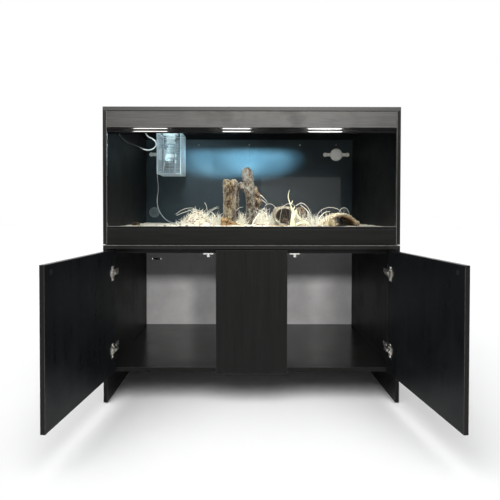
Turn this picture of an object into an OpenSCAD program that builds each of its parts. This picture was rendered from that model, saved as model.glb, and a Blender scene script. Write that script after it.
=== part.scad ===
// Terrarium cabinet: a vivarium with two sliding glass panes on a cupboard with two
// side-hung doors and a fixed centre panel.  Millimetres, +Z up, -Y is the front.
// The origin is on the ground, in the middle of the whole object with its doors open.
// Modules are drawn with Y = 0 on the front face and moved into place by in_place().

/* [Overall] */
// Width over the side boards
width = 1150; // [1000:10:1300]
// Depth from the front face to the rear edge
depth = 600; // [560:10:700]
// Thickness of the boards
board_t = 15; // [12:1:18]
// Thickness of the back panels
back_t = 6; // [3:1:8]
// Distance of the back panels from the rear edge
back_recess = 12; // [6:1:20]
// Depth of the grooves that hold the back panels
groove_d = 5; // [3:1:7]

/* [Cupboard] */
// Height of the cupboard with its glides
cupboard_h = 615; // [560:5:700]
// Height of the underside of the cupboard floor
floor_z = 114; // [80:2:160]
// Height of the glides under the side boards
glide_h = 3; // [2:0.5:6]
// Radius of the glides
glide_r = 6; // [4:0.5:6]
// Width of the fixed centre panel
centre_w = 277; // [200:5:340]
// Gap at each upright edge of a door
door_gap = 2.5; // [2.5:0.1:4]
// Gap over the doors and the centre panel
door_top_gap = 4; // [2:0.5:8]
// How far the doors stay above the underside of the floor
door_rise = 2; // [0:0.5:6]
// Angle at which the doors stand open
open_angle = 97.6; // [85:0.1:105]
// Room behind a closed door for its turning edge
turning_room = 9; // [9:0.5:20]
// Height of the flat rail under the cupboard top
rail_h = 18; // [12:1:30]
// Depth of the flat rail
rail_d = 90; // [80:5:140]
// Height of the cable slot in the cupboard back
slot_z = 486; // [300:5:520]
// Distance of the cable slot's middle from the left side board
slot_inset = 55; // [40:5:180]

/* [Door hinges] */
// Distance of the hinge pin from the door's edge
pin_u = 13; // [13:0.5:14]
// Depth of the hinge pin behind the door's front
pin_n = 7.5; // [7.4:0.05:7.6]
// Radius of the hinge pin
pin_r = 1.25; // [1:0.05:1.4]
// Running clearance round the hinge pin
pin_clear = 0.05; // [0.03:0.01:0.1]
// Distance of a hinge from the door's top and bottom edges
hinge_inset = 90; // [70:5:150]
// Radius of the hinge cup
cup_r = 17.5; // [17.5:0.1:18]
// Distance of the cup's centre from the door's edge
cup_u = 22; // [22:0.5:23]
// Wall left under the cup in the door's front
cup_skin = 3.5; // [3:0.1:3.6]
// Thickness of the hinge's sheet metal
sheet_t = 1.5; // [1:0.1:2]
// Height of the cup's flange
flange_h = 58; // [50:1:66]

/* [Push latches] */
// Place of each latch from the free edge of its door
latch_inset = 29; // [25:1:60]
// Width of the latch plate
latch_w = 40; // [34:1:50]
// Radius of the latch barrel
barrel_r = 6; // [5.5:0.1:7]
// Radius of the plunger
plunger_r = 4; // [3:0.1:4.5]
// Running clearance round the plunger
plunger_clear = 0.1; // [0.05:0.01:0.2]
// Travel of the plunger
plunger_travel = 4; // [2:0.5:6]
// Thickness of the steel disc on the door
strike_t = 1; // [0.5:0.1:1.5]
// Gap between the closed door's disc and the plunger
strike_gap = 0.5; // [0.3:0.1:1]

/* [Vivarium] */
// Height of the vivarium without its pads
viv_h = 532; // [480:4:620]
// Height of the pads between cupboard and vivarium
pad_h = 3; // [2:0.5:6]
// Radius of the pads
pad_r = 15; // [10:1:18]
// Height of the fascia over the glass
upper_fascia_h = 64; // [55:1:90]
// Height of the fascia under the glass
lower_fascia_h = 62; // [55:1:90]
// Thickness of the glass
glass_t = 4; // [3:0.5:5]
// How far the two panes lap in the middle
glass_lap = 20; // [10:2:60]
// Gap between a pane and the side board
glass_end_gap = 1; // [0.5:0.5:4]
// Clearance of the glass in its runners
glass_clear = 0.5; // [0.3:0.1:0.8]
// Wall of the plastic runners
runner_wall = 1.5; // [1:0.1:1.6]
// Height of the runner over the glass
top_runner_h = 21; // [16:1:26]
// Height of the runner under the glass
bottom_runner_h = 8; // [6:0.5:10]
// How far the glass reaches into the upper runner
glass_bite = 12; // [8:1:13]

/* [Vents and screws] */
// Radius of the upper vents
upper_vent_r = 33; // [28:1:36]
// Span of the upper vents over their fixing ears
ear_span = 143; // [120:1:160]
// Height of a fixing ear
ear_h = 22; // [16:1:26]
// Distance of the upper vents' middle from the side boards
upper_vent_inset = 88; // [80:2:120]
// Distance of the upper vents below the ceiling
upper_vent_drop = 81; // [70:1:120]
// Radius of the lower vents
lower_vent_r = 28; // [22:1:32]
// Distance of the lower vents' middle from the side boards
lower_vent_inset = 44; // [40:2:100]
// Height of the lower vents over the vivarium floor
lower_vent_rise = 107; // [95:1:140]
// Depth of the back screws below the ceiling
screw_drop = 27; // [20:1:34]
// Spacing of the back screws
screw_pitch = 275; // [200:5:300]
// Radius of the screw heads
screw_r = 4; // [3:0.25:5]

/* [Light and lamp] */
// Length of the ceiling light
light_l = 600; // [400:10:700]
// Depth of the ceiling light's hood
light_d = 110; // [80:5:140]
// Height of the ceiling light's hood
light_h = 38; // [30:1:44]
// Distance of the hood from the front face
light_y = 60; // [40:5:100]
// Radius of the light tube
tube_r = 8; // [6:0.5:10]
// Width of the lamp guard
guard_w = 118; // [110:1:150]
// Depth of the lamp guard
guard_d = 145; // [130:1:150]
// Height of the lamp guard
guard_h = 206; // [190:1:240]
// Distance of the lamp guard's middle from the left side board
guard_inset = 165; // [155:1:200]
// Distance of the lamp guard from the front face
guard_y = 370; // [350:1:390]
// Width of the hatch in the guard's front
hatch_w = 58; // [50:1:80]
// Height of the hatch in the guard's front
hatch_h = 130; // [100:1:160]
// Radius of the bulb
bulb_r = 27; // [22:1:32]
// Length of the bulb below its holder
bulb_l = 88; // [70:1:110]
// Radius of the lamp holder
holder_r = 24; // [20:1:28]
// Height of the lamp holder
holder_h = 50; // [40:1:60]
// Diameter of the ceiling light's lead
lead_d = 6; // [5:0.5:7]
// Diameter of the probe's lead
probe_d = 4; // [3:0.5:4.5]

/* [Landscape] */
// Depth of the sand bed
sand_h = 50; // [30:1:58]
// Radius of the upright cork tube
tube_log_r = 35; // [28:1:42]
// Height of the upright cork tube over the sand
tube_log_h = 207; // [150:1:260]
// Radius of the leaning branch
branch_r = 27; // [20:1:34]
// Height of the leaning branch over the sand
branch_h = 272; // [220:1:300]
// Radius of the hollow lying log
log_r = 46; // [36:1:52]
// Length of the hollow lying log
log_l = 150; // [120:2:200]
// Outer radius of the bark arch
arch_r = 86; // [76:1:94]
// Height of the bark arch over the sand
arch_h = 61; // [50:1:72]
// Length of the bark arch
arch_l = 170; // [120:2:220]
// Wall of the hollow cork pieces
bark_t = 11; // [8:1:15]

/* [Hidden] */
$fn = 48;

// Small shared values
eps = 0.01;                          // overrun of a cut past a face
seat_gap = 0.2;                      // fit of a board in its groove and round the sand
half_w = width / 2;
inner_x = half_w - board_t;          // inner face of the side boards
back_y = depth - back_recess - back_t;   // inner face of the back panels

// Cupboard
cupboard_top_z = cupboard_h - board_t;
floor_top_z = floor_z + board_t;
slot_x = inner_x - slot_inset;
glide_inset = 40;                    // from the front and rear edges to a glide's centre
setback = board_t + turning_room;    // front edge of the floor and rail
door_w = inner_x - centre_w / 2 - 2 * door_gap;
door_bottom_z = floor_z + door_rise;
door_top_z = cupboard_top_z - door_top_gap;
rail_z = cupboard_top_z - rail_h;
door_edge_x = -inner_x + door_gap;   // hinge edge of the left door
pin_x = door_edge_x + pin_u;
hinge_zs = [door_bottom_z + hinge_inset, door_top_z - hinge_inset];

// Reach of the open doors, which sets the middle of the object
free_u = door_w - pin_u;
door_front_y = pin_n - free_u * sin(open_angle)
    + min((board_t - pin_n) * cos(open_angle), -pin_n * cos(open_angle));
front_y = -(depth + door_front_y) / 2;

// Hinge: a fixed arm with a cranked nose that carries the door's pin in the cup
cup_wall = 0.8;
cup_fit = 0.05;
flange_w = 20;
nose_out = 16;                       // from the pin to the crank
nose_half = 2;                       // half the nose's thickness
nose_h = 12;
eye_r = pin_r + pin_clear + 1.2;
arm_h = 18;
arm_l = 66;
arm_x = 10;                          // thickness of the arm
arm_y0 = setback + 2;
arm_y1 = arm_y0 + arm_l;
plate_x = 3.5;                       // thickness of the mounting plate
plate_h = 50;
plate_l = 36;
plate_y0 = arm_y0 + 14;
plate_y1 = plate_y0 + plate_l;
arm_screw_y = (plate_y0 + plate_y1) / 2;
plate_screw_dz = 17;
flange_screw_dz = 23;
head_r = 4;
head_h = 1.5;

// Push latch
latch_x = -centre_w / 2 - door_gap - latch_inset;
latch_plate_t = 5;
latch_plate_d = 24;
barrel_l = 64;
barrel_z = rail_z - latch_plate_t - barrel_r + 1;
plunger_l = 34;
plunger_y0 = board_t + strike_t + strike_gap;
spring_l = 15;                       // length of the latch spring when it is pressed
spring_r = 3.2;
spring_wire_r = 0.5;
spring_turns = 5;
spring_steps = 10;                   // points on each turn
spring_sides = 5;
bore_end_y = plunger_y0 + plunger_l + plunger_travel + spring_l + 0.5;
disc_r = 8;

// Centre panel brackets
bracket_w = 20;
bracket_leg = 30;
bracket_t = 2;
bracket_reach = 40;
bracket_inset = 35;                  // from the centre panel's edge
bracket_x = centre_w / 2 - bracket_inset;

// Cam locks in the floors
cam_r = 7.5;
cam_h = 11;
cam_fit = 0.1;
cam_in = 34;                         // from the side board to the cam's centre
cam_front = 90;
cam_rear = 110;
cam_ys = [cam_front, depth - cam_rear];

// Vivarium
viv_z = cupboard_h + pad_h;
viv_floor_top = viv_z + board_t;
viv_top_z = viv_z + viv_h;
ceiling_z = viv_top_z - board_t;
pad_inset_x = 30;                    // from a side board to a pad's centre
pad_inset_y = 45;                    // from the front and rear edges to a pad's centre
fascia_top_z = viv_z + lower_fascia_h;
fascia_low_z = ceiling_z - upper_fascia_h;
track_w = glass_t + 2 * glass_clear;
runner_d = 3 * runner_wall + 2 * track_w;
glass_z0 = fascia_top_z + runner_wall + glass_clear;
glass_z1 = fascia_low_z - top_runner_h + glass_bite;
glass_w = inner_x - glass_end_gap + glass_lap / 2;
front_track_y = runner_wall + glass_clear;
rear_track_y = front_track_y + track_w + runner_wall;

// Vents
vent_face = 3;                       // thickness of a vent's face
vent_neck = 2;                       // how much smaller the neck is than the face
vent_fit = 0.3;
slat_gap = 3;
slat_pitch = 7;
upper_vent_x = inner_x - upper_vent_inset;
upper_vent_z = ceiling_z - upper_vent_drop;
lower_vent_x = inner_x - lower_vent_inset;
lower_vent_z = viv_floor_top + lower_vent_rise;
cable_slot_w = 50;
cable_slot_h = 12;

// Light, lamp and their leads
hood_t = 2;
cap_t = 5;
tube_z = ceiling_z - light_h / 2 - 4;
tube_y = light_y + light_d / 2;
guard_t = 1.5;
guard_pitch = 23;
guard_bar = 4;
guard_x = inner_x - guard_inset;
guard_z = ceiling_z - guard_h;
hatch_border = 8;
hatch_z = guard_z + 8;
hatch_fit = 0.6;
hatch_pin_r = 1.2;
knuckle_r = 3;
knuckle_h = 14;
knuckle_gap = 0.4;
hatch_inset = 28;                    // from the guard's edge to the hatch's hinge side
hatch_x1 = -guard_x + guard_w / 2 - hatch_inset;
hatch_x0 = hatch_x1 - hatch_w;
hatch_pin_y = guard_y - knuckle_r - 0.5;
hatch_pin_x = hatch_x1 + knuckle_r + hatch_fit;
lamp_x = -guard_x - 4;
lamp_y = guard_y + guard_d / 2;
rose_r = 38;
rose_h = 5;
holder_z = ceiling_z - rose_h - holder_h;
socket_r = 13.5;
socket_d = 30;
gland_r = 11;
gland_h = 12;
light_gland_inset = 79;              // from the left side board
probe_gland_inset = 75;
probe_gland_back = 37;               // from the back panel
gland_at = [
    [-inner_x + light_gland_inset, 262],
    [-inner_x + probe_gland_inset, back_y - probe_gland_back]
];

// Route of the ceiling light's lead: out of its gland, down in a bight beside the guard,
// along the left side and up to the hood.  Each point is X, Y, drop below the ceiling,
// with X drawn for a gland at -481 and a hood that starts at -300.
light_route = [
    [-481, 262, 12], [-481, 262, 22], [-477, 262, 36], [-467, 263, 48], [-451, 268, 56],
    [-440, 278, 65], [-438, 291, 77], [-445, 301, 88], [-459, 304, 98], [-475, 298, 103],
    [-488, 281, 104], [-496, 257, 102], [-502, 235, 99], [-512, 218, 96], [-523, 198, 94],
    [-533, 169, 92], [-540, 134, 86], [-546, 107, 71], [-544, 100, 47], [-530, 108, 25],
    [-501, 121, 18], [-465, 127, 21], [-430, 124, 24], [-398, 118, 24], [-368, 115, 20],
    [-342, 115, 18], [-320, 115, 18], [-300, 115, 18]
];

// Route of the probe's lead: down behind the guard, then over the sand to the probe.
// Each point is its distance from the left side board and from the back panel, and its
// height over the sand, drawn for a gland whose mouth is 440 over the sand.
probe_route = [
    [75, 37, 440], [75, 37, 429], [75, 37, 402], [74, 37, 372], [73, 37, 337],
    [71, 37, 302], [69, 37, 267], [70, 37, 232], [73, 37, 202], [73, 37, 172],
    [69, 38, 142], [68, 40, 112], [73, 43, 84], [85, 48, 57], [103, 56, 34],
    [124, 65, 16], [148, 75, 5.5], [170, 83, 2.3], [192, 90, 2.3], [210, 95, 2.3]
];
lead_sides = 8;
probe_tip_l = 28;
tip_turn = atan2(-5, 18);            // heading of the probe's last stretch

// Landscape
sand_z = viv_floor_top + sand_h;
sand_front = board_t + seat_gap;
mounds = [                           // middle, reach, height
    [spot(-0.461, 0.567), 100, 62], [spot(0.036, 0.82), 95, 40], [spot(0.446, 0.81), 90, 34]
];
mound_steps = 8;
tube_log_at = spot(-0.166, 0.515);
branch_foot = spot(0.007, 0.593);
branch_lean = 11;                    // of the part above the knee
branch_arm_r = 13;
branch_leg_r = 9;
branch_leg_x = -60;                  // from the branch's foot
log_at = spot(0.266, 0.387);
arch_at = spot(0.716, 0.258);
arch_drop = arch_r - arch_h;         // how far the arch's centre lies under the sand

/* Helpers ------------------------------------------------------------------ */

// Moves a sub-part from the front-face frame into the object's frame
module in_place() {
    translate([0, front_y, 0]) children();
}

// Draws a left-hand sub-part on the right
module on_right() {
    mirror([1, 0, 0]) children();
}

// Box between two corners
module box(low, high) {
    translate(low) cube(high - low);
}

// Cylinder along Y from y0 to y1
module rod_y(x, z, y0, y1, r) {
    translate([x, y0, z]) rotate([-90, 0, 0]) cylinder(h = y1 - y0, r = r);
}

// Turns a closed left door's sub-part to where it stands open
module on_open_door() {
    in_place()
        translate([pin_x, pin_n, 0]) rotate([0, 0, -open_angle]) translate([-pin_x, -pin_n, 0])
            children();
}

// Place in the vivarium: share of the half width right of the middle, share of the depth
function spot(x_share, y_share) = [x_share * inner_x, y_share * back_y];

// Unit vector of v
function unit(v) = v / norm(v);

// Direction of the route p at point i, from its neighbours
function heading(p, i) =
    i == 0 ? unit(p[1] - p[0]) :
    i == len(p) - 1 ? unit(p[i] - p[i - 1]) : unit(p[i + 1] - p[i - 1]);

// Sideways axis of the route p at point i, carried along from the first point
function carried(p, i) =
    i == 0 ? unit(cross(heading(p, 0), [1, 0, 0]))
    : let (t = heading(p, i), a = carried(p, i - 1)) unit(a - (a * t) * t);

// One ring of n points and radius r round the route p at point i, square to it
function ring(p, i, r, n) =
    let (t = heading(p, i), a = carried(p, i), b = cross(t, a))
    [for (k = [0 : n - 1]) p[i] + r * (cos(360 * k / n) * a + sin(360 * k / n) * b)];

// Tube of radius r swept along the route p as one closed solid with n sides
module swept_tube(p, r, n) {
    rings = len(p);
    points = [for (i = [0 : rings - 1]) each ring(p, i, r, n)];
    sides = [
        for (i = [0 : rings - 2]) for (k = [0 : n - 1])
            let (a = i * n + k, b = i * n + (k + 1) % n)
            each [[a, b, a + n], [b, b + n, a + n]]
    ];
    first = [for (k = [1 : n - 2]) [0, k + 1, k]];
    base = (rings - 1) * n;
    last = [for (k = [1 : n - 2]) [base, base + k, base + k + 1]];
    polyhedron(points = points, faces = concat(sides, first, last));
}

/* Cupboard ------------------------------------------------------------------ */

module foot_glides() {
    color("#303030") in_place()
        for (x = [-1, 1], y = [glide_inset, depth - glide_inset])
            translate([x * (half_w - board_t / 2), y, 0]) cylinder(h = glide_h, r = glide_r);
}

// Left side board of the cupboard with the groove for the back panel
module cupboard_side() {
    in_place() difference() {
        box([-half_w, 0, glide_h], [-inner_x, depth, cupboard_top_z]);
        box([-inner_x - groove_d, back_y - seat_gap, glide_h - eps],
            [-inner_x + eps, back_y + back_t + seat_gap, cupboard_top_z + eps]);
    }
}

module cupboard_side_left() {
    color("#1c1d1d") cupboard_side();
}

module cupboard_side_right() {
    color("#1c1d1d") on_right() cupboard_side();
}

// Pockets for the cam locks in the underside of a floor at height z
module cam_pockets(z, r) {
    for (x = [-1, 1], y = cam_ys)
        translate([x * (inner_x - cam_in), y, z - eps]) cylinder(h = cam_h + eps, r = r);
}

module cupboard_floor() {
    color("#222323") in_place() difference() {
        box([-inner_x, setback, floor_z], [inner_x, back_y - seat_gap, floor_top_z]);
        cam_pockets(floor_z, cam_r + cam_fit);
    }
}

module cam_locks() {
    color("#b9b4a6") in_place()
        for (z = [floor_z, viv_z], x = [-1, 1], y = cam_ys)
            translate([x * (inner_x - cam_in), y, z]) difference() {
                cylinder(h = cam_h - cam_fit, r = cam_r);
                translate([-cam_r, -0.75, -eps]) cube([2 * cam_r, 1.5, 3]);
            }
}

module cupboard_top() {
    color("#2b2c2b") in_place()
        box([-half_w, 0, cupboard_top_z], [half_w, depth, cupboard_h]);
}

module cupboard_rail() {
    color("#2b2c2b") in_place()
        box([-inner_x, setback, rail_z], [inner_x, setback + rail_d, cupboard_top_z]);
}

// Cupboard back in the side boards' grooves, with the cable slot
module cupboard_back() {
    edge = inner_x + groove_d - seat_gap;
    color("#5c5d5e") in_place() difference() {
        box([-edge, back_y, floor_z], [edge, back_y + back_t, cupboard_top_z]);
        translate([-slot_x, back_y - eps, slot_z]) rotate([-90, 0, 0])
            linear_extrude(back_t + 2 * eps) union() {
                square([cable_slot_w - cable_slot_h, cable_slot_h], center = true);
                for (x = [-1, 1])
                    translate([x * (cable_slot_w - cable_slot_h) / 2, 0])
                        circle(r = cable_slot_h / 2);
            }
    }
}

module centre_panel() {
    color("#252827") in_place()
        box([-centre_w / 2, 0, door_bottom_z], [centre_w / 2, board_t, door_top_z]);
}

// Angle brackets that hold the centre panel to the rail and the floor
module centre_brackets() {
    color("#b9b9b4") in_place()
        for (x = [-bracket_x, bracket_x]) {
            box([x - bracket_w / 2, board_t, rail_z - bracket_leg],
                [x + bracket_w / 2, board_t + bracket_t, rail_z]);
            box([x - bracket_w / 2, board_t, rail_z - bracket_t],
                [x + bracket_w / 2, setback + bracket_reach, rail_z]);
            box([x - bracket_w / 2, board_t, floor_top_z],
                [x + bracket_w / 2, board_t + bracket_t, floor_top_z + bracket_leg]);
            box([x - bracket_w / 2, board_t, floor_top_z],
                [x + bracket_w / 2, setback + bracket_reach, floor_top_z + bracket_t]);
        }
}

/* Doors and hinges ----------------------------------------------------------- */

// Closed left door with the bores for its hinge cups
module door_closed() {
    difference() {
        box([door_edge_x, 0, door_bottom_z], [door_edge_x + door_w, board_t, door_top_z]);
        for (z = hinge_zs)
            rod_y(door_edge_x + cup_u, z, cup_skin, board_t + eps, cup_r + cup_fit);
    }
}

module door_left() {
    color("#1d242c") on_open_door() door_closed();
}

module door_right() {
    color("#1d242c") on_right() on_open_door() door_closed();
}

// Cup, flange and pin of one hinge in the closed left door
module hinge_cup(z) {
    x = door_edge_x + cup_u;
    pin_half = sqrt(cup_r * cup_r - (cup_u - pin_u) * (cup_u - pin_u)) - cup_wall / 2;
    difference() {
        union() {
            rod_y(x, z, cup_skin + cup_fit, board_t, cup_r);
            rod_y(x, z, board_t, board_t + sheet_t, cup_r + 2);
            box([x - flange_w / 2, board_t, z - flange_h / 2],
                [x + flange_w / 2, board_t + sheet_t, z + flange_h / 2]);
            for (s = [-1, 1])
                rod_y(x, z + s * flange_screw_dz, board_t, board_t + sheet_t + head_h, head_r);
        }
        rod_y(x, z, cup_skin + cup_fit + cup_wall, board_t + sheet_t + eps, cup_r - cup_wall);
    }
    translate([pin_x, pin_n, z - pin_half]) cylinder(h = 2 * pin_half, r = pin_r);
}

module hinge_cups_left() {
    color("#c8c4bc") on_open_door() for (z = hinge_zs) hinge_cup(z);
}

module hinge_cups_right() {
    color("#c8c4bc") on_right() on_open_door() for (z = hinge_zs) hinge_cup(z);
}

// Fixed half of one hinge: mounting plate, arm and cranked nose with the pin's eye
module hinge_arm(z) {
    crank_x = pin_x + nose_out;
    difference() {
        union() {
            box([-inner_x, plate_y0, z - plate_h / 2], [-inner_x + plate_x, plate_y1, z + plate_h / 2]);
            box([-inner_x + plate_x - eps, arm_y0, z - arm_h / 2],
                [-inner_x + plate_x + arm_x, arm_y1, z + arm_h / 2]);
            box([-inner_x + plate_x, arm_y0, z - nose_h / 2],
                [crank_x + nose_half, arm_y0 + 2 * nose_half, z + nose_h / 2]);
            box([crank_x - nose_half, pin_n - nose_half, z - nose_h / 2],
                [crank_x + nose_half, arm_y0 + 2 * nose_half, z + nose_h / 2]);
            box([pin_x, pin_n - nose_half, z - nose_h / 2],
                [crank_x, pin_n + nose_half, z + nose_h / 2]);
            translate([pin_x, pin_n, z - nose_h / 2]) cylinder(h = nose_h, r = eye_r);
        }
        translate([pin_x, pin_n, z - nose_h]) cylinder(h = 2 * nose_h, r = pin_r + pin_clear);
    }
}

module hinge_arms_left() {
    color("#c8c4bc") in_place() for (z = hinge_zs) hinge_arm(z);
}

module hinge_arms_right() {
    color("#c8c4bc") on_right() in_place() for (z = hinge_zs) hinge_arm(z);
}

// Screw heads of the mounting plates and arms on one side
module plate_screws() {
    in_place() for (z = hinge_zs) {
        for (s = [-1, 1])
            translate([-inner_x + plate_x, arm_screw_y, z + s * plate_screw_dz])
                rotate([0, 90, 0]) cylinder(h = head_h, r = head_r);
        translate([-inner_x + plate_x + arm_x, arm_screw_y, z])
            rotate([0, 90, 0]) cylinder(h = head_h, r = head_r);
    }
}

module hinge_screws() {
    color("#dcdad4") {
        plate_screws();
        on_right() plate_screws();
    }
}

/* Push latches --------------------------------------------------------------- */

// Plate and barrel of the left latch; the barrel is bored for its plunger
module latch_body() {
    difference() {
        union() {
            box([latch_x - latch_w / 2, setback, rail_z - latch_plate_t],
                [latch_x + latch_w / 2, setback + latch_plate_d, rail_z]);
            rod_y(latch_x, barrel_z, setback, setback + barrel_l, barrel_r);
            box([latch_x - barrel_r / 2, setback, barrel_z],
                [latch_x + barrel_r / 2, setback + barrel_l, rail_z]);
        }
        rod_y(latch_x, barrel_z, setback - eps, bore_end_y, plunger_r + plunger_clear);
    }
}

module latch_bodies() {
    color("#b4b4b0") {
        in_place() latch_body();
        on_right() in_place() latch_body();
    }
}

// Points of a spring along Y that ends against the bore's end
function spring_points() = [
    for (k = [0 : spring_turns * spring_steps])
        let (turn = 360 * k / spring_steps)
        [latch_x + spring_r * cos(turn),
         bore_end_y - spring_wire_r - (spring_l - 2 * spring_wire_r) * k / spring_turns / spring_steps,
         barrel_z + spring_r * sin(turn)]
];

module latch_springs() {
    color("#9c9c98") {
        in_place() swept_tube(spring_points(), spring_wire_r, spring_sides);
        on_right() in_place() swept_tube(spring_points(), spring_wire_r, spring_sides);
    }
}

module latch_plunger() {
    in_place() rod_y(latch_x, barrel_z, plunger_y0, plunger_y0 + plunger_l, plunger_r);
}

module latch_plunger_left() {
    color("#e6e6e2") latch_plunger();
}

module latch_plunger_right() {
    color("#e6e6e2") on_right() latch_plunger();
}

// Steel disc that the plunger's magnet holds, on the inner face of the left door
module latch_disc() {
    on_open_door() rod_y(latch_x, barrel_z, board_t, board_t + strike_t, disc_r);
}

module latch_disc_left() {
    color("#a8a8a6") latch_disc();
}

module latch_disc_right() {
    color("#a8a8a6") on_right() latch_disc();
}

/* Vivarium carcass ------------------------------------------------------------ */

module vivarium_pads() {
    color("#202020") in_place()
        for (x = [-1, 0, 1], y = [pad_inset_y, depth - pad_inset_y])
            translate([x * (inner_x - pad_inset_x), y, cupboard_h]) cylinder(h = pad_h, r = pad_r);
}

// Left side board of the vivarium with the groove for the back panel
module vivarium_side() {
    in_place() difference() {
        box([-half_w, 0, viv_z], [-inner_x, depth, ceiling_z]);
        box([-inner_x - groove_d, back_y - seat_gap, viv_z - eps],
            [-inner_x + eps, back_y + back_t + seat_gap, ceiling_z + eps]);
    }
}

module vivarium_side_left() {
    color("#1c1d1d") vivarium_side();
}

module vivarium_side_right() {
    color("#1c1d1d") on_right() vivarium_side();
}

module vivarium_floor() {
    color("#222323") in_place() difference() {
        box([-inner_x, board_t, viv_z], [inner_x, back_y - seat_gap, viv_floor_top]);
        cam_pockets(viv_z, cam_r + cam_fit);
    }
}

// Top board with the holes of the two cable glands
module vivarium_top() {
    color("#3a3b3a") in_place() difference() {
        box([-half_w, 0, ceiling_z], [half_w, depth, viv_top_z]);
        for (p = gland_at)
            translate([p[0], p[1], ceiling_z - eps])
                cylinder(h = board_t + 2 * eps, r = gland_r / 2 + vent_fit);
    }
}

// Back panel in the side boards' grooves, with the round holes of the four vents
module vivarium_back() {
    edge = inner_x + groove_d - seat_gap;
    color("#17191b") in_place() difference() {
        box([-edge, back_y, viv_z], [edge, back_y + back_t, ceiling_z]);
        for (s = [-1, 1]) {
            rod_y(s * upper_vent_x, upper_vent_z, back_y - eps, back_y + back_t + eps,
                  upper_vent_r - vent_neck + vent_fit);
            rod_y(s * lower_vent_x, lower_vent_z, back_y - eps, back_y + back_t + eps,
                  lower_vent_r - vent_neck + vent_fit);
        }
    }
}

module upper_fascia() {
    color("#6e6a62") in_place()
        box([-inner_x, 0, fascia_low_z], [inner_x, board_t, ceiling_z]);
}

module lower_fascia() {
    color("#232320") in_place()
        box([-inner_x, 0, viv_z], [inner_x, board_t, fascia_top_z]);
}

// Two-track runner profile of height h, open upwards; its floor lies on Y
module runner_profile(h) {
    square([runner_d, runner_wall]);
    for (k = [0 : 2])
        translate([k * (track_w + runner_wall), 0]) square([runner_wall, h]);
}

// Runner along the whole glass opening
module runner(h) {
    translate([-inner_x, 0, 0]) rotate([90, 0, 90]) linear_extrude(2 * inner_x) runner_profile(h);
}

module top_runner() {
    color("#1a1a1a") in_place() translate([0, 0, fascia_low_z]) mirror([0, 0, 1])
        runner(top_runner_h);
}

module bottom_runner() {
    color("#3c3c3a") in_place() translate([0, 0, fascia_top_z]) runner(bottom_runner_h);
}

// One pane that ends at the left side board, in the track that starts at y
module pane(y) {
    x0 = -inner_x + glass_end_gap;
    box([x0, y, glass_z0], [x0 + glass_w, y + glass_t, glass_z1]);
}

module glass_left() {
    color("#9fc4c4", 0.35) in_place() pane(front_track_y);
}

module glass_right() {
    color("#9fc4c4", 0.35) on_right() in_place() pane(rear_track_y);
}

/* Vents and screws ------------------------------------------------------------- */

// Round slatted vent of face radius r on the inside of the back panel
module round_vent(x, z, r) {
    neck = r - vent_neck;
    slats = floor(neck / slat_pitch) - 1;
    difference() {
        union() {
            rod_y(x, z, back_y - vent_face, back_y, r);
            rod_y(x, z, back_y - eps, back_y + back_t, neck);
        }
        for (k = [-slats : slats])
            box([x - sqrt(neck * neck - k * k * slat_pitch * slat_pitch) + 5,
                 back_y - vent_face - eps, z + k * slat_pitch - slat_gap / 2],
                [x + sqrt(neck * neck - k * k * slat_pitch * slat_pitch) - 5,
                 back_y + back_t + eps, z + k * slat_pitch + slat_gap / 2]);
    }
}

// Upper vent with a two-lobed fixing ear at each side
module upper_vent(x) {
    lobe_r = ear_h / 2;
    ear_reach = ear_span / 2 - lobe_r;
    in_place() {
        round_vent(x, upper_vent_z, upper_vent_r);
        for (s = [-1, 1]) {
            rod_y(x + s * ear_reach, upper_vent_z, back_y - vent_face, back_y, lobe_r);
            difference() {
                box([x + min(s * ear_reach, 0), back_y - vent_face, upper_vent_z - lobe_r * 0.8],
                    [x + max(s * ear_reach, 0), back_y, upper_vent_z + lobe_r * 0.8]);
                rod_y(x, upper_vent_z, back_y - vent_face - eps, back_y + eps, upper_vent_r - eps);
            }
            rod_y(x + s * ear_reach, upper_vent_z, back_y - vent_face - head_h,
                  back_y - vent_face + eps, head_r);
        }
    }
}

module upper_vent_left() {
    color("#b0aeaa") upper_vent(-upper_vent_x);
}

module upper_vent_right() {
    color("#b0aeaa") upper_vent(upper_vent_x);
}

module lower_vent_left() {
    color("#50565a") in_place() round_vent(-lower_vent_x, lower_vent_z, lower_vent_r);
}

module lower_vent_right() {
    color("#50565a") in_place() round_vent(lower_vent_x, lower_vent_z, lower_vent_r);
}

module back_screws() {
    color("#a0a0a0") in_place()
        for (x = [-upper_vent_x, -screw_pitch, 0, screw_pitch, upper_vent_x])
            rod_y(x, ceiling_z - screw_drop, back_y - head_h, back_y, screw_r);
}

/* Ceiling light ----------------------------------------------------------------- */

// Folded sheet hood, open downwards
module light_hood() {
    color("#c9cac8") in_place() translate([-light_l / 2, 0, 0])
        rotate([90, 0, 90]) linear_extrude(light_l) polygon([
            [light_y, ceiling_z], [light_y + light_d, ceiling_z],
            [light_y + light_d, ceiling_z - light_h],
            [light_y + light_d - hood_t, ceiling_z - light_h],
            [light_y + light_d - hood_t, ceiling_z - hood_t],
            [light_y + hood_t, ceiling_z - hood_t],
            [light_y + hood_t, ceiling_z - light_h],
            [light_y, ceiling_z - light_h]
        ]);
}

module light_tube() {
    color("#f4f6ff") in_place()
        translate([-light_l / 2 + cap_t, tube_y, tube_z]) rotate([0, 90, 0])
            cylinder(h = light_l - 2 * cap_t, r = tube_r);
}

// End caps that close the hood and carry the tube
module light_caps() {
    color("#8d8f90") in_place()
        for (x = [-light_l / 2, light_l / 2 - cap_t])
            box([x, light_y + hood_t, ceiling_z - light_h],
                [x + cap_t, light_y + light_d - hood_t, ceiling_z - hood_t]);
}

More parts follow.
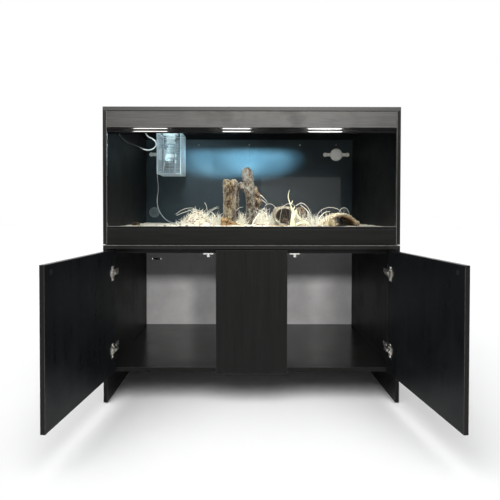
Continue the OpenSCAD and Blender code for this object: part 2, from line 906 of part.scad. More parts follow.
// Cable glands: a cap under the ceiling on a stem through the top board
module ceiling_glands() {
    color("#202020") in_place()
        for (p = gland_at)
            translate([p[0], p[1], ceiling_z - gland_h]) {
                cylinder(h = gland_h, r1 = gland_r * 0.7, r2 = gland_r);
                cylinder(h = gland_h + board_t, r = gland_r / 2);
            }
}

// Points of the light's lead between its gland and the hood's end
function light_lead_points() =
    let (x0 = light_route[0][0], x1 = light_route[len(light_route) - 1][0],
         stretch = (-light_l / 2 - gland_at[0][0]) / (x1 - x0))
    [for (p = light_route) [gland_at[0][0] + (p[0] - x0) * stretch, p[1], ceiling_z - p[2]]];

module light_lead() {
    color("#f2f2f0") in_place() swept_tube(light_lead_points(), lead_d / 2, lead_sides);
}

/* Basking lamp ------------------------------------------------------------------- */

// Sheet with square windows, w by h in X and Y, thickness guard_t in Z
module pierced_sheet(w, h) {
    nx = floor((w - guard_bar) / guard_pitch);
    ny = floor((h - guard_bar) / guard_pitch);
    px = (w - guard_bar) / nx;
    py = (h - guard_bar) / ny;
    difference() {
        cube([w, h, guard_t]);
        for (i = [0 : nx - 1], j = [0 : ny - 1])
            translate([guard_bar + i * px, guard_bar + j * py, -eps])
                cube([px - guard_bar, py - guard_bar, guard_t + 2 * eps]);
    }
}

// Wire guard under the ceiling: back, sides, base and a front with the hatch's opening
module lamp_guard() {
    x0 = -guard_x - guard_w / 2;
    x1 = -guard_x + guard_w / 2;
    y1 = guard_y + guard_d;
    color("#8c9196") in_place() {
        difference() {
            union() {
                translate([x0, guard_y + guard_t, guard_z]) rotate([90, 0, 0])
                    pierced_sheet(guard_w, guard_h);
                box([hatch_x0 - hatch_border, guard_y, hatch_z - hatch_border],
                    [hatch_x1 + hatch_border, guard_y + guard_t, hatch_z + hatch_h + hatch_border]);
            }
            box([hatch_x0, guard_y - eps, hatch_z], [hatch_x1, guard_y + guard_t + eps, hatch_z + hatch_h]);
        }
        translate([x0, y1, guard_z]) rotate([90, 0, 0]) pierced_sheet(guard_w, guard_h);
        for (x = [x0, x1 - guard_t])
            translate([x, guard_y, guard_z]) rotate([90, 0, 90]) pierced_sheet(guard_d, guard_h);
        translate([x0, guard_y, guard_z]) pierced_sheet(guard_w, guard_d);
        hatch_knuckles(0);
    }
}

// Hinge eyes of the hatch: group 0 stands on the guard, group 1 on the hatch
module hatch_knuckles(group) {
    z0 = hatch_z + hatch_h / 2 - 1.5 * knuckle_h - knuckle_gap;
    step = knuckle_h + knuckle_gap;
    ks = group == 0 ? [0, 2] : [1];
    for (k = ks) difference() {
        union() {
            translate([hatch_pin_x, hatch_pin_y, z0 + k * step]) cylinder(h = knuckle_h, r = knuckle_r);
            if (group == 0)
                box([hatch_pin_x, hatch_pin_y, z0 + k * step],
                    [hatch_pin_x + knuckle_r, guard_y + eps, z0 + k * step + knuckle_h]);
            else
                box([hatch_pin_x - 2 * knuckle_r, hatch_pin_y, z0 + k * step],
                    [hatch_pin_x, guard_y - hatch_fit, z0 + k * step + knuckle_h]);
        }
        if (group == 1)
            translate([hatch_pin_x, hatch_pin_y, z0]) cylinder(h = 3 * step, r = hatch_pin_r + pin_clear);
    }
    if (group == 0)
        translate([hatch_pin_x, hatch_pin_y, z0 + eps])
            cylinder(h = 3 * step - knuckle_gap - 2 * eps, r = hatch_pin_r);
}

// Hatch that swings on the guard's front so that the bulb can be changed
module guard_hatch() {
    color("#9aa0a5") in_place() {
        translate([hatch_x0 - guard_bar / 2, guard_y - hatch_fit, hatch_z - guard_bar / 2])
            rotate([90, 0, 0]) pierced_sheet(hatch_w + guard_bar / 2, hatch_h + guard_bar);
        hatch_knuckles(1);
    }
}

module lamp_rose() {
    color("#e9e7e0") in_place()
        translate([lamp_x, lamp_y, ceiling_z - rose_h]) cylinder(h = rose_h, r = rose_r);
}

// Ceramic holder with the socket for the bulb's cap
module lamp_holder() {
    color("#f0eee6") in_place() translate([lamp_x, lamp_y, holder_z]) rotate_extrude() polygon([
        [socket_r, 0], [holder_r, 0], [holder_r, holder_h * 0.3], [holder_r - 4, holder_h * 0.36],
        [holder_r - 4, holder_h * 0.55], [holder_r, holder_h * 0.62], [holder_r - 2, holder_h],
        [0, holder_h], [0, socket_d], [socket_r, socket_d]
    ]);
}

// Reflector bulb with its cap up in the holder
module lamp_bulb() {
    cap_r = socket_r - 0.5;
    shoulder = bulb_l - bulb_r * 0.6;
    color("#f7f3e6") in_place() translate([lamp_x, lamp_y, holder_z]) rotate_extrude() polygon(concat(
        [[0, socket_d - 1], [cap_r, socket_d - 1], [cap_r, -8]],
        [for (a = [0 : 10 : 90]) [cap_r + (bulb_r - cap_r) * sin(a), -8 - (shoulder - 8) * (1 - cos(a))]],
        [for (a = [10 : 10 : 90]) [bulb_r * cos(a), -shoulder - bulb_r * 0.6 * sin(a)]]
    ));
}

/* Probe -------------------------------------------------------------------------- */

// Points of the probe's lead
function probe_lead_points() =
    let (stretch = (ceiling_z - gland_h - sand_z) / probe_route[0][2])
    [for (p = probe_route) [-inner_x + p[0], back_y - p[1], sand_z + p[2] * stretch]];

module probe_lead() {
    color("#b4b8bc") in_place() swept_tube(probe_lead_points(), probe_d / 2, lead_sides);
}

module probe_tip() {
    end = probe_lead_points()[len(probe_route) - 1];
    color("#303236") in_place() translate(end) rotate([0, 90, tip_turn])
        cylinder(h = probe_tip_l, r = probe_d / 2 + 0.2);
}

/* Landscape ----------------------------------------------------------------------- */

// Low heap of sand whose slope follows one swing of a cosine
module mound(m) {
    reach = m[1];
    height = m[2];
    translate([m[0][0], m[0][1], sand_z]) rotate_extrude() polygon(concat(
        [[0, -1], [reach, -1]],
        [for (k = [mound_steps : -1 : 0])
            [reach * k / mound_steps, height * (1 + cos(180 * k / mound_steps)) / 2]]
    ));
}

module sand_bed() {
    color("#ebe4d2") in_place() union() {
        box([-inner_x + seat_gap, sand_front, viv_floor_top],
            [inner_x - seat_gap, back_y - seat_gap, sand_z]);
        for (m = mounds) mound(m);
    }
}

module cork_tube() {
    color("#8a7a66") in_place() translate([tube_log_at[0], tube_log_at[1], sand_z]) difference() {
        cylinder(h = tube_log_h, r = tube_log_r);
        translate([0, 0, -eps]) cylinder(h = tube_log_h + 2 * eps, r = tube_log_r - bark_t);
    }
}

// Branch that leans above its knee, with an arm on its left that turns down into a thin leg
module cork_branch() {
    knee_z = branch_h * 0.55;
    arm_z = branch_h * 0.68;
    overlap = 1.5 * branch_r * tan(branch_lean);
    color("#7c6c58") in_place() translate([branch_foot[0], branch_foot[1], sand_z]) {
        cylinder(h = knee_z, r = branch_r);
        translate([0, 0, knee_z]) rotate([0, -branch_lean, 0]) translate([0, 0, -overlap])
            cylinder(h = (branch_h - knee_z) / cos(branch_lean) + overlap, r = branch_r);
        translate([branch_leg_x, 0, 0]) cylinder(h = arm_z + branch_leg_r / 2, r = branch_leg_r);
        translate([branch_leg_x - branch_arm_r + 2, 0, arm_z]) rotate([0, 90, 0])
            cylinder(h = branch_arm_r - 2 - branch_leg_x, r = branch_arm_r);
    }
}

// Hollow log on its side with a flat worn where it lies
module cork_log() {
    flat = 2;
    color("#6e5138") in_place() translate([log_at[0], log_at[1], sand_z]) difference() {
        rod_y(0, log_r - flat, 0, log_l, log_r);
        rod_y(0, log_r - flat, -eps, log_l + eps, log_r - bark_t);
        box([-log_r, -eps, -log_r], [log_r, log_l + eps, 0]);
    }
}

// Arch of bark that makes a cave
module bark_arch() {
    color("#a8966f") in_place() translate([arch_at[0], arch_at[1], sand_z]) difference() {
        rod_y(0, -arch_drop, 0, arch_l, arch_r);
        rod_y(0, -arch_drop, -eps, arch_l + eps, arch_r - bark_t);
        box([-arch_r - eps, -eps, -2 * arch_r], [arch_r + eps, arch_l + eps, 0]);
    }
}

/* Nodes ---------------------------------------------------------------------------- */

foot_glides();
cupboard_side_left();
cupboard_side_right();
cupboard_floor();
cupboard_top();
cupboard_rail();
cupboard_back();
centre_panel();
centre_brackets();
cam_locks();
door_left();
door_right();
hinge_cups_left();
hinge_cups_right();
hinge_arms_left();
hinge_arms_right();
hinge_screws();
latch_bodies();
latch_springs();
latch_plunger_left();
latch_plunger_right();
latch_disc_left();
latch_disc_right();
vivarium_pads();
vivarium_side_left();
vivarium_side_right();
vivarium_floor();
vivarium_top();
vivarium_back();
upper_fascia();
lower_fascia();
top_runner();
bottom_runner();
glass_left();
glass_right();
upper_vent_left();
upper_vent_right();
lower_vent_left();
lower_vent_right();
back_screws();
light_hood();
light_tube();
light_caps();
ceiling_glands();
light_lead();
lamp_guard();
guard_hatch();
lamp_rose();
lamp_holder();
lamp_bulb();
probe_lead();
probe_tip();
sand_bed();
cork_tube();
cork_branch();
cork_log();
bark_arch();
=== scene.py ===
"""Looks of a terrarium cabinet: a black vivarium with sliding glass on a cupboard with two doors.

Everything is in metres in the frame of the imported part, +Z up and -Y towards the front.
Places are written in the front-face frame, where Y = 0 is the front of the boards, and
place() moves them into the part's frame.
"""
import math

import bmesh
import bpy
import numpy as np
from mathutils import Euler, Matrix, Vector


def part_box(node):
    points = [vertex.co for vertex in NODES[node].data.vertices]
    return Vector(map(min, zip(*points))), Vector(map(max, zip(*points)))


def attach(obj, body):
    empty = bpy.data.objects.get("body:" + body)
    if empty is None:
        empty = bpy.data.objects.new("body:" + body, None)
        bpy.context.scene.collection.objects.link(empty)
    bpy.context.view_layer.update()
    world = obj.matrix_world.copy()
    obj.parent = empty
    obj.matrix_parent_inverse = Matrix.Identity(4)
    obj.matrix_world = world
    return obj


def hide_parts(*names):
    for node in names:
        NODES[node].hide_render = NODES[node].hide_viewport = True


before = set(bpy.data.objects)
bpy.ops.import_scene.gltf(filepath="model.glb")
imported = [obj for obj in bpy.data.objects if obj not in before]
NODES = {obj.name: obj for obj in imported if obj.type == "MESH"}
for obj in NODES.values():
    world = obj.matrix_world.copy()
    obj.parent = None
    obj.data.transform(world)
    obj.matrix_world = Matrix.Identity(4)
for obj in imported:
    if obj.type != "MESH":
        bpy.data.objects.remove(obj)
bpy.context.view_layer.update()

# ---------------------------------------------------------------- sizes and places

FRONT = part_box("vivarium_top")[0][1]     # Y of the front faces
HALF_W = 0.575
BOARD = 0.015
INNER = HALF_W - BOARD                   # inner faces of the side boards
DEPTH = 0.600
BACK = 0.582                             # inner face of the back panels
SETBACK = 0.024                          # front edge of the cupboard's floor and rail

GLIDE_TOP = 0.003                        # the side boards stand on glides
FLOOR_LOW = 0.114                        # undersides of the cupboard's floor and rail
RAIL_LOW, RAIL_THICK = 0.582, 0.018
CUPBOARD_TOP = 0.615
DOOR_LOW, DOOR_HIGH = 0.116, 0.596
DOOR_EDGE = -0.5575
DOOR_WIDTH = 0.4165
PIN = (-0.5445, 0.0075)                  # X and Y of the left hinge pins
OPEN_ANGLE = math.radians(97.6)
CENTRE_HALF = 0.1385
SLOT_X, SLOT_Z = 0.505, 0.486             # cable slot of the cupboard's back

VIV_LOW = 0.618
CEILING = 1.135
FASCIA_LOW = 1.071                       # lower edge of the upper fascia
FASCIA_TOP = 0.680                       # upper edge of the lower one
RUNNER_TOP = 0.688                       # upper edge of the lower glass runner
VENT_X, VENT_Z = 0.472, 1.054            # middles of the upper vents
LOW_VENT = (0.516, 0.740)                # X and Z of the lower ones
HINGE_HEIGHTS = (0.206, 0.506)
SCREWS_X = (-VENT_X, -0.275, 0.0, 0.275, VENT_X)     # along the top of the vivarium's back
RIBS = (1.0656, 1.0545)                  # heights of the two ribs on the upper runner
RIB_HALF = 0.0014                        # half the height of one
RIB_LEAN = math.radians(2.0)
RIB_ARC = 0.140                          # radius of its bowed face
SAND_FLOOR = 0.633
SAND = 0.683                             # level of the sand

GUARD = ((-0.454, 0.370, 0.929), (-0.336, 0.515, 1.135))
HATCH = ((-0.424, 0.935), (-0.364, 1.069))       # X and Z of two corners
HATCH_MIDDLE = (HATCH[0][1] + HATCH[1][1]) / 2
HATCH_PIN = (-0.3604, GUARD[0][1] - 0.0035)      # X and Y of the hatch's pin
GUARD_PITCH, GUARD_WIRE = 0.0076, 0.00050        # spacing and radius of the woven wires

# Route of the ceiling light's lead: X, Y, drop below the ceiling
LIGHT_ROUTE = [
    (-0.481, 0.262, 0.012), (-0.481, 0.262, 0.022), (-0.477, 0.262, 0.036), (-0.467, 0.263, 0.048),
    (-0.451, 0.268, 0.056), (-0.440, 0.278, 0.065), (-0.438, 0.291, 0.077), (-0.445, 0.301, 0.088),
    (-0.459, 0.304, 0.098), (-0.475, 0.298, 0.103), (-0.488, 0.281, 0.104), (-0.496, 0.257, 0.102),
    (-0.502, 0.235, 0.099), (-0.512, 0.218, 0.096), (-0.523, 0.198, 0.094), (-0.533, 0.169, 0.092),
    (-0.540, 0.134, 0.086), (-0.546, 0.107, 0.071), (-0.544, 0.100, 0.047), (-0.530, 0.108, 0.025),
    (-0.501, 0.121, 0.018), (-0.465, 0.127, 0.021), (-0.430, 0.124, 0.024), (-0.398, 0.118, 0.024),
    (-0.368, 0.115, 0.020), (-0.342, 0.115, 0.018), (-0.320, 0.115, 0.018), (-0.300, 0.115, 0.018),
]
LIGHT_LEAD = 0.006                       # diameter

# Route of the probe's lead: distance from the left side board and from the back panel,
# height over the sand
PROBE_ROUTE = [
    (0.075, 0.037, 0.440), (0.075, 0.037, 0.429), (0.075, 0.037, 0.402), (0.074, 0.037, 0.372),
    (0.073, 0.037, 0.337), (0.071, 0.037, 0.302), (0.069, 0.037, 0.267), (0.070, 0.037, 0.232),
    (0.073, 0.037, 0.202), (0.073, 0.037, 0.172), (0.069, 0.038, 0.142), (0.068, 0.040, 0.112),
    (0.073, 0.043, 0.084), (0.085, 0.048, 0.057), (0.103, 0.056, 0.034), (0.124, 0.065, 0.016),
    (0.148, 0.075, 0.0055), (0.170, 0.083, 0.0023), (0.192, 0.090, 0.0023), (0.210, 0.095, 0.0023),
]
PROBE_LEAD = 0.004
PROBE_LENGTH = 0.028
PROBE_HEADING = (18.0, -5.0, 0.0)        # way the probe lies on the sand

# Landscape, in shares of the half width and of the depth as the part has them
MOUNDS = [                               # X, Y, reach, height
    (-0.461 * INNER, 0.567 * BACK, 0.100, 0.062),
    (0.036 * INNER, 0.82 * BACK, 0.095, 0.040),
    (0.446 * INNER, 0.81 * BACK, 0.090, 0.034),
]
TUBE_AT = (-0.166 * INNER, 0.515 * BACK)
TUBE_R, TUBE_H = 0.035, 0.207
BRANCH_AT = (0.007 * INNER, 0.593 * BACK)
BRANCH_H, BRANCH_KNEE = 0.275, 0.140
BRANCH_LEAN = math.radians(11)           # of the part above the knee
BRANCH_ARM = [                           # X and Y from the branch's foot, height over the sand
    (-0.004, 0, 0.158), (-0.020, -0.003, 0.170), (-0.038, -0.002, 0.181), (-0.056, 0, 0.180),
    (-0.066, 0.001, 0.164), (-0.064, 0.001, 0.130), (-0.066, 0, 0.080), (-0.061, 0, 0.036),
    (-0.064, 0, -0.001),
]
LOG_AT = (0.266 * INNER, 0.387 * BACK)
LOG_R, LOG_L = 0.046, 0.150
ARCH_AT = (0.716 * INNER, 0.258 * BACK)
ARCH_R, ARCH_H, ARCH_L = 0.086, 0.061, 0.170
BARK = 0.011                             # wall of the hollow cork pieces
RELIEF = 0.002                           # how far their skin is sunk for its relief

# Clumps of grass and of chips: X, Y, radius and number, then the grass's height and size
GRASS_CLUMPS = [
    (-0.275, 0.310, 0.080, 240, 0.002, 0.50), (-0.235, 0.325, 0.040, 130, 0.006, 0.60),
    (-0.195, 0.325, 0.035, 150, 0.016, 0.85), (-0.160, 0.315, 0.035, 250, 0.045, 1.0),
    (-0.130, 0.335, 0.028, 160, 0.040, 1.0),
    (-0.044, 0.335, 0.022, 170, 0.045), (-0.048, 0.310, 0.014, 60, 0.020),
    (0.062, 0.335, 0.032, 300, 0.085), (0.075, 0.310, 0.030, 200, 0.030),
    (0.048, 0.300, 0.016, 60, 0.010), (0.118, 0.290, 0.026, 170, 0.045),
    (0.150, 0.310, 0.045, 240, 0.085), (0.190, 0.285, 0.028, 180, 0.050),
    (0.225, 0.300, 0.040, 260, 0.060), (0.262, 0.290, 0.038, 240, 0.045),
    (0.300, 0.255, 0.035, 190, 0.020), (0.335, 0.185, 0.028, 150, 0.030),
    (0.360, 0.250, 0.045, 150, 0.045), (0.430, 0.260, 0.030, 70, 0.040),
    (0.020, 0.440, 0.090, 260, 0.020), (0.240, 0.440, 0.080, 200, 0.020),
    (-0.080, 0.400, 0.060, 120, 0.020), (0.320, 0.150, 0.018, 60, 0.016),
]
CHIP_CLUMPS = [
    (-0.105, 0.245, 0.030, 60), (-0.060, 0.262, 0.030, 50), (0.060, 0.300, 0.040, 30),
    (0.205, 0.250, 0.040, 60), (0.330, 0.165, 0.030, 70), (0.120, 0.205, 0.050, 30),
    (-0.230, 0.300, 0.070, 30), (0.300, 0.130, 0.060, 24), (-0.445, 0.060, 0.012, 5),
    (0.000, 0.220, 0.200, 30), (-0.300, 0.200, 0.120, 12), (0.250, 0.300, 0.060, 30),
    (-0.265, 0.290, 0.040, 40), (-0.220, 0.310, 0.030, 30), (-0.500, 0.190, 0.020, 12),
]
# Single stalks: the radius, then points as X, Y and height over the sand
STALKS = [
    (0.0011, (-0.3508, 0.300, 0.0480), (-0.3133, 0.300, 0.0721), (-0.2712, 0.300, 0.0782),
     (-0.2431, 0.300, 0.0597)),
    (0.0011, (-0.3425, 0.280, 0.0435), (-0.3008, 0.280, 0.0604), (-0.2545, 0.285, 0.0720),
     (-0.2175, 0.290, 0.0528)),
    (0.0010, (-0.2172, 0.330, 0.1055), (-0.2076, 0.330, 0.0865), (-0.2038, 0.330, 0.0503),
     (-0.2048, 0.330, 0.0003)),
    (0.0010, (-0.2089, 0.320, 0.0008), (-0.2029, 0.320, 0.0508), (-0.1792, 0.320, 0.0745),
     (-0.1507, 0.320, 0.0873)),
    (0.0012, (-0.2196, 0.300, 0.0015), (-0.1962, 0.300, 0.0510), (-0.1634, 0.300, 0.0763),
     (-0.1447, 0.300, 0.0791)),
    (0.0010, (-0.0830, 0.320, 0.0006), (-0.0749, 0.320, 0.0556), (-0.0513, 0.320, 0.0792),
     (-0.0323, 0.320, 0.0840)),
    (0.0013, (0.1290, 0.250, 0.0010), (0.1450, 0.250, 0.0787), (0.1768, 0.250, 0.0992),
     (0.2041, 0.250, 0.0878)),
    (0.0012, (0.2070, 0.270, 0.0881), (0.2346, 0.270, 0.1019), (0.2622, 0.270, 0.0835),
     (0.2806, 0.270, 0.0459), (0.2860, 0.270, 0.0009)),
    (0.0011, (0.3043, 0.300, 0.0016), (0.3170, 0.300, 0.0516), (0.3470, 0.300, 0.0768),
     (0.3892, 0.300, 0.0810), (0.4266, 0.300, 0.0604), (0.4400, 0.300, 0.0104)),
    (0.0009, (0.4126, 0.300, 0.0527), (0.4266, 0.300, 0.0768), (0.4501, 0.300, 0.0777),
     (0.4665, 0.300, 0.0450), (0.4700, 0.300, 0.0050)),
    (0.0013, (0.2255, 0.250, 0.0946), (0.2496, 0.250, 0.0742), (0.2701, 0.250, 0.0469),
     (0.2892, 0.250, 0.0028)),
    (0.0012, (0.2343, 0.240, 0.0877), (0.2615, 0.240, 0.0606), (0.2886, 0.240, 0.0013)),
    (0.0013, (0.0400, 0.335, 0.1310), (0.0654, 0.330, 0.1112), (0.0841, 0.325, 0.0964)),
    (0.0013, (0.0470, 0.335, 0.1421), (0.0582, 0.330, 0.1341), (0.0844, 0.325, 0.1041)),
    (0.0011, (0.0700, 0.300, 0.0900), (0.0824, 0.300, 0.0978), (0.1058, 0.300, 0.0941),
     (0.1300, 0.300, 0.0650)),
    (0.0022, (0.0075, 0.260, 0.0014), (0.0226, 0.260, 0.0308), (0.0386, 0.260, 0.0514),
     (0.0546, 0.260, 0.0591)),
    (0.0023, (0.2941, 0.200, 0.0010), (0.3038, 0.200, 0.0343), (0.3148, 0.200, 0.0488),
     (0.3294, 0.200, 0.0603), (0.3514, 0.200, 0.0638)),
]
# Root wood: the radius at the foot and at the tip, then points as before
ROOTS = [
    (0.0070, 0.0012, (0.1911, 0.205, -0.002), (0.1880, 0.205, 0.0253), (0.1858, 0.205, 0.0519),
     (0.1827, 0.206, 0.074), (0.1740, 0.207, 0.1000), (0.1660, 0.208, 0.1290), (0.1716, 0.208, 0.1600)),
    (0.0060, 0.0024, (0.1780, 0.203, -0.002), (0.1810, 0.203, 0.0220), (0.1840, 0.204, 0.0480),
     (0.1880, 0.205, 0.0700), (0.1950, 0.205, 0.0860)),
    (0.0060, 0.0030, (0.1905, 0.204, 0.0300), (0.1950, 0.205, 0.0560), (0.1999, 0.205, 0.0673),
     (0.2066, 0.205, 0.0474), (0.2243, 0.205, 0.0250), (0.2442, 0.205, 0.0180), (0.2600, 0.205, 0.0020)),
    (0.0062, 0.0032, (0.2000, 0.200, 0.004), (0.2200, 0.198, 0.012), (0.2420, 0.198, 0.011),
     (0.2620, 0.200, 0.003)),
    (0.0040, 0.0018, (0.1740, 0.204, 0.0960), (0.1810, 0.203, 0.1010), (0.1850, 0.203, 0.1120)),
]
# Torn bark: the name, the finish, how far it is darkened as painted shade, where the lumps are
# counted from, then X, Y and height over the sand of each lump with its reach on each axis
LUMPS = [
    ("branch_knot", "cork_lying", 0.0, BRANCH_AT, [
        ((0.025, -0.004, 0.138), (0.017, 0.016, 0.028)), ((0.041, -0.006, 0.114), (0.014, 0.014, 0.019)),
        ((0.026, -0.006, 0.096), (0.013, 0.012, 0.018)), ((0.017, -0.004, 0.164), (0.013, 0.013, 0.020))]),
    ("log_litter", "cork_lying", 0.75, LOG_AT, [
        ((0.000, 0.060, 0.040), (0.035, 0.030, 0.034)), ((0.012, 0.018, 0.022), (0.016, 0.014, 0.012))]),
    ("arch_litter", "bark_rind", 0.0, ARCH_AT, [
        ((-0.066, 0.000, 0.012), (0.026, 0.020, 0.015)), ((-0.044, 0.014, 0.009), (0.020, 0.018, 0.012)),
        ((0.058, 0.020, 0.010), (0.010, 0.016, 0.016))]),
    ("arch_shadow_litter", "rust_bark", 1.0, ARCH_AT, [
        ((-0.010, 0.135, 0.018), (0.064, 0.026, 0.030))]),
    ("loose_bark", "cork_lying", 0.0, (0.0, 0.0), [
        ((0.240, 0.315, 0.056), (0.020, 0.020, 0.026)), ((0.256, 0.305, 0.026), (0.022, 0.018, 0.022)),
        ((0.205, 0.330, 0.020), (0.020, 0.018, 0.022)), ((0.155, 0.300, 0.010), (0.018, 0.014, 0.012)),
        ((-0.505, 0.200, 0.006), (0.017, 0.012, 0.008)), ((0.080, 0.330, 0.012), (0.020, 0.018, 0.014))]),
    ("foot_bark", "rust_bark", 0.0, TUBE_AT, [
        ((-0.036, -0.024, 0.012), (0.009, 0.009, 0.016)), ((-0.022, -0.034, 0.022), (0.011, 0.008, 0.015)),
        ((-0.026, -0.038, 0.005), (0.012, 0.010, 0.008)), ((-0.008, -0.039, 0.010), (0.010, 0.008, 0.013)),
        ((0.008, -0.040, 0.006), (0.011, 0.009, 0.010)), ((0.024, -0.036, 0.005), (0.010, 0.009, 0.008))]),
]

# Camera: a pinhole in the photograph's 500 by 500 frame
PICTURE = 500.0
CAMERA_AT = (-0.0332, -1.4218, 0.7495)
FOCAL_PIXELS = 367.65
CENTRE_PIXEL = (243.81, 215.63)
CAMERA_TURN = (math.radians(90 - 0.770), math.radians(-0.083), math.radians(-0.101))
STRIP_REACH = 6.0                        # how far the ceiling strips hang before the front


def place(points):
    """Points of the front-face frame in the part's frame: Y plus the front's place."""
    moved = np.array(points, dtype=float)
    moved[..., 1] += FRONT
    return moved


# ---------------------------------------------------------------- arithmetic on arrays

def noise(points, size, seed):
    """Smooth random value from -1 to 1 at each point.

    Random numbers stand on a cubic lattice whose cell is size (one length, or one for each
    axis), and the eight round a point are blended with the smoothstep 3t^2 - 2t^3.
    """
    lattice = np.random.default_rng(seed).uniform(-1, 1, (32, 32, 32))
    cell = np.asarray(points, dtype=float) / size
    low = np.floor(cell).astype(int)
    part = cell - low
    part = part * part * (3 - 2 * part)
    total = np.zeros(cell.shape[:-1])
    for corner in np.ndindex(2, 2, 2):
        weight = np.prod(np.where(corner, part, 1 - part), axis=-1)
        i, j, k = np.moveaxis((low + corner) % 32, -1, 0)
        total = total + weight * lattice[i, j, k]
    return total


def layered(points, size, seed, layers=3):
    """Sum of noises, each half as large and half as coarse as the one before."""
    total = 0.0
    for k in range(layers):
        total = total + noise(points, np.asarray(size) / 2 ** k, seed + k) / 2 ** k
    return total


def smooth_path(points, steps):
    """Catmull-Rom curve through the points: each stretch is the cubic whose end slopes are
    half the distance between its neighbours."""
    p = np.array(points, dtype=float)
    p = np.vstack([2 * p[0] - p[1], p, 2 * p[-1] - p[-2]])
    t = (np.arange(steps) / steps)[None, :, None]
    a, b, c, d = (p[k:len(p) - 3 + k, None, :] for k in range(4))
    curve = 0.5 * (2 * b + (c - a) * t + (2 * a - 5 * b + 4 * c - d) * t ** 2
                   + (3 * b - 3 * c + d - a) * t ** 3)
    return np.vstack([curve.reshape(-1, 3), p[-2]])


def path_axes(path):
    """Two axes square to the path at each point: the first starts square to the path's
    start and is carried along by taking off its part along each next direction."""
    along = np.gradient(path, axis=0)
    along /= np.linalg.norm(along, axis=1)[:, None]
    side = np.zeros_like(along)
    start = np.cross(along[0], [1.0, 0.0, 0.0])
    if np.linalg.norm(start) < 0.3:
        start = np.cross(along[0], [0.0, 1.0, 0.0])
    side[0] = start / np.linalg.norm(start)
    for k in range(1, len(path)):
        turned = side[k - 1] - along[k] * np.dot(side[k - 1], along[k])
        side[k] = turned / np.linalg.norm(turned)
    return side, np.cross(along, side)


def full_turn(count):
    """Angles of a whole turn in equal steps."""
    return np.linspace(0, 2 * math.pi, count, endpoint=False)


def path_spokes(path, sides):
    """Unit vectors round a path at each point: the cosine of the angle along the path's first
    side axis plus the sine along its second."""
    a, b = path_axes(path)
    turn = full_turn(sides)[None, :, None]
    return np.cos(turn) * a[:, None, :] + np.sin(turn) * b[:, None, :]


def ring_faces(rows, columns, closed_rows=False):
    """Quads between neighbouring rings of points; the last ring meets the first if closed."""
    r = np.arange(rows if closed_rows else rows - 1)[:, None]
    c = np.arange(columns)[None, :]
    here, there = r * columns, (r + 1) % rows * columns
    ahead = (c + 1) % columns
    quads = np.stack([here + c, here + ahead, there + ahead, there + c], axis=-1)
    return quads.reshape(-1, 4).tolist()


def capped_faces(rows, columns):
    """Quads between neighbouring rings, and one flat face over the first ring and the last."""
    last = (rows - 1) * columns
    ends = [list(range(columns))[::-1], list(range(last, last + columns))]
    return ring_faces(rows, columns) + ends


def sheet_faces(rows, columns):
    """Quads of an open grid of points."""
    low = np.arange(rows - 1)[:, None] * columns + np.arange(columns - 1)[None, :]
    quads = np.stack([low, low + 1, low + columns + 1, low + columns], axis=-1)
    return quads.reshape(-1, 4).tolist()


def tube(path, radius, sides):
    """Round tube along a path: a circle of the given radius (one, or one for each point) in
    the plane of the path's two side axes."""
    path = np.asarray(path, dtype=float)
    r = np.broadcast_to(np.asarray(radius, dtype=float), (len(path),))
    points = path[:, None, :] + r[:, None, None] * path_spokes(path, sides)
    return points.reshape(-1, 3), capped_faces(len(path), sides)


def profile_run(profile, origins, across, outward, closed=False):
    """Profile carried along a line: point (t, e) of the profile lands at the origin plus t
    along the thickness axis and e along the outward axis, which is one for all origins or one
    for each. At a mitre it is the sum of its two neighbours."""
    profile = np.asarray(profile)
    rows, columns = len(origins), len(profile)
    outward = np.broadcast_to(outward, (rows, 3))[:, None, :]
    points = (np.asarray(origins)[:, None, :] + profile[None, :, :1] * np.asarray(across)
              + profile[None, :, 1:] * outward)
    faces = ring_faces(rows, columns, True) if closed else capped_faces(rows, columns)
    return points.reshape(-1, 3), faces


def soft_box(low, high, chamfer=0.0004):
    """Box with chamfered edges: each corner becomes three points, one on each face, drawn in
    by the chamfer along the other two axes."""
    low, high = np.array(low, dtype=float), np.array(high, dtype=float)
    middle, half = (low + high) / 2, (high - low) / 2
    signs = np.array(list(np.ndindex(2, 2, 2))) * 2 - 1
    points = middle + signs[:, None, :] * np.where(np.eye(3), half, half - chamfer)[None]
    square = ((-1, -1), (1, -1), (1, 1), (-1, 1))
    faces = []
    for axis in range(3):
        u, v = (axis + 1) % 3, (axis + 2) % 3

        def number(side, corner, face):
            """Number of the point on this face at the corner with these three signs."""
            upper = {axis: side > 0, u: corner[0] > 0, v: corner[1] > 0}
            return 3 * (4 * upper[0] + 2 * upper[1] + upper[2]) + face

        faces += [[number(side, corner, axis) for corner in square[::side]] for side in (-1, 1)]
        faces += [[number(-1, corner, u), number(1, corner, u), number(1, corner, v),
                   number(-1, corner, v)] for corner in square]
    faces += [[3 * k, 3 * k + 1, 3 * k + 2] for k in range(8)]
    return points.reshape(-1, 3), faces


def joined(parts):
    """Several shapes as one: the points of all, and their faces with the numbers moved on."""
    points, faces, count = [], [], 0
    for p, f in parts:
        points.append(p)
        faces.extend([[i + count for i in face] for face in f])
        count += len(p)
    return np.vstack(points), faces


def turned(points, angle, about):
    """Points turned about the upright line through about: X and Y by the cosine and sine."""
    c, s = math.cos(angle), math.sin(angle)
    p = np.array(points, dtype=float)
    x, y = p[..., 0] - about[0], p[..., 1] - about[1]
    p[..., 0] = about[0] + c * x - s * y
    p[..., 1] = about[1] + s * x + c * y
    return p


def mirrored(points):
    """Points on the other side of the middle plane: X changes its sign."""
    return np.asarray(points) * [-1.0, 1.0, 1.0]


# ---------------------------------------------------------------- objects

FINISH = {}                              # every finish by its name, filled by new_finish


def new_object(name, data):
    """An object of the scene."""
    made = bpy.data.objects.new(name, data)
    bpy.context.scene.collection.objects.link(made)
    return made


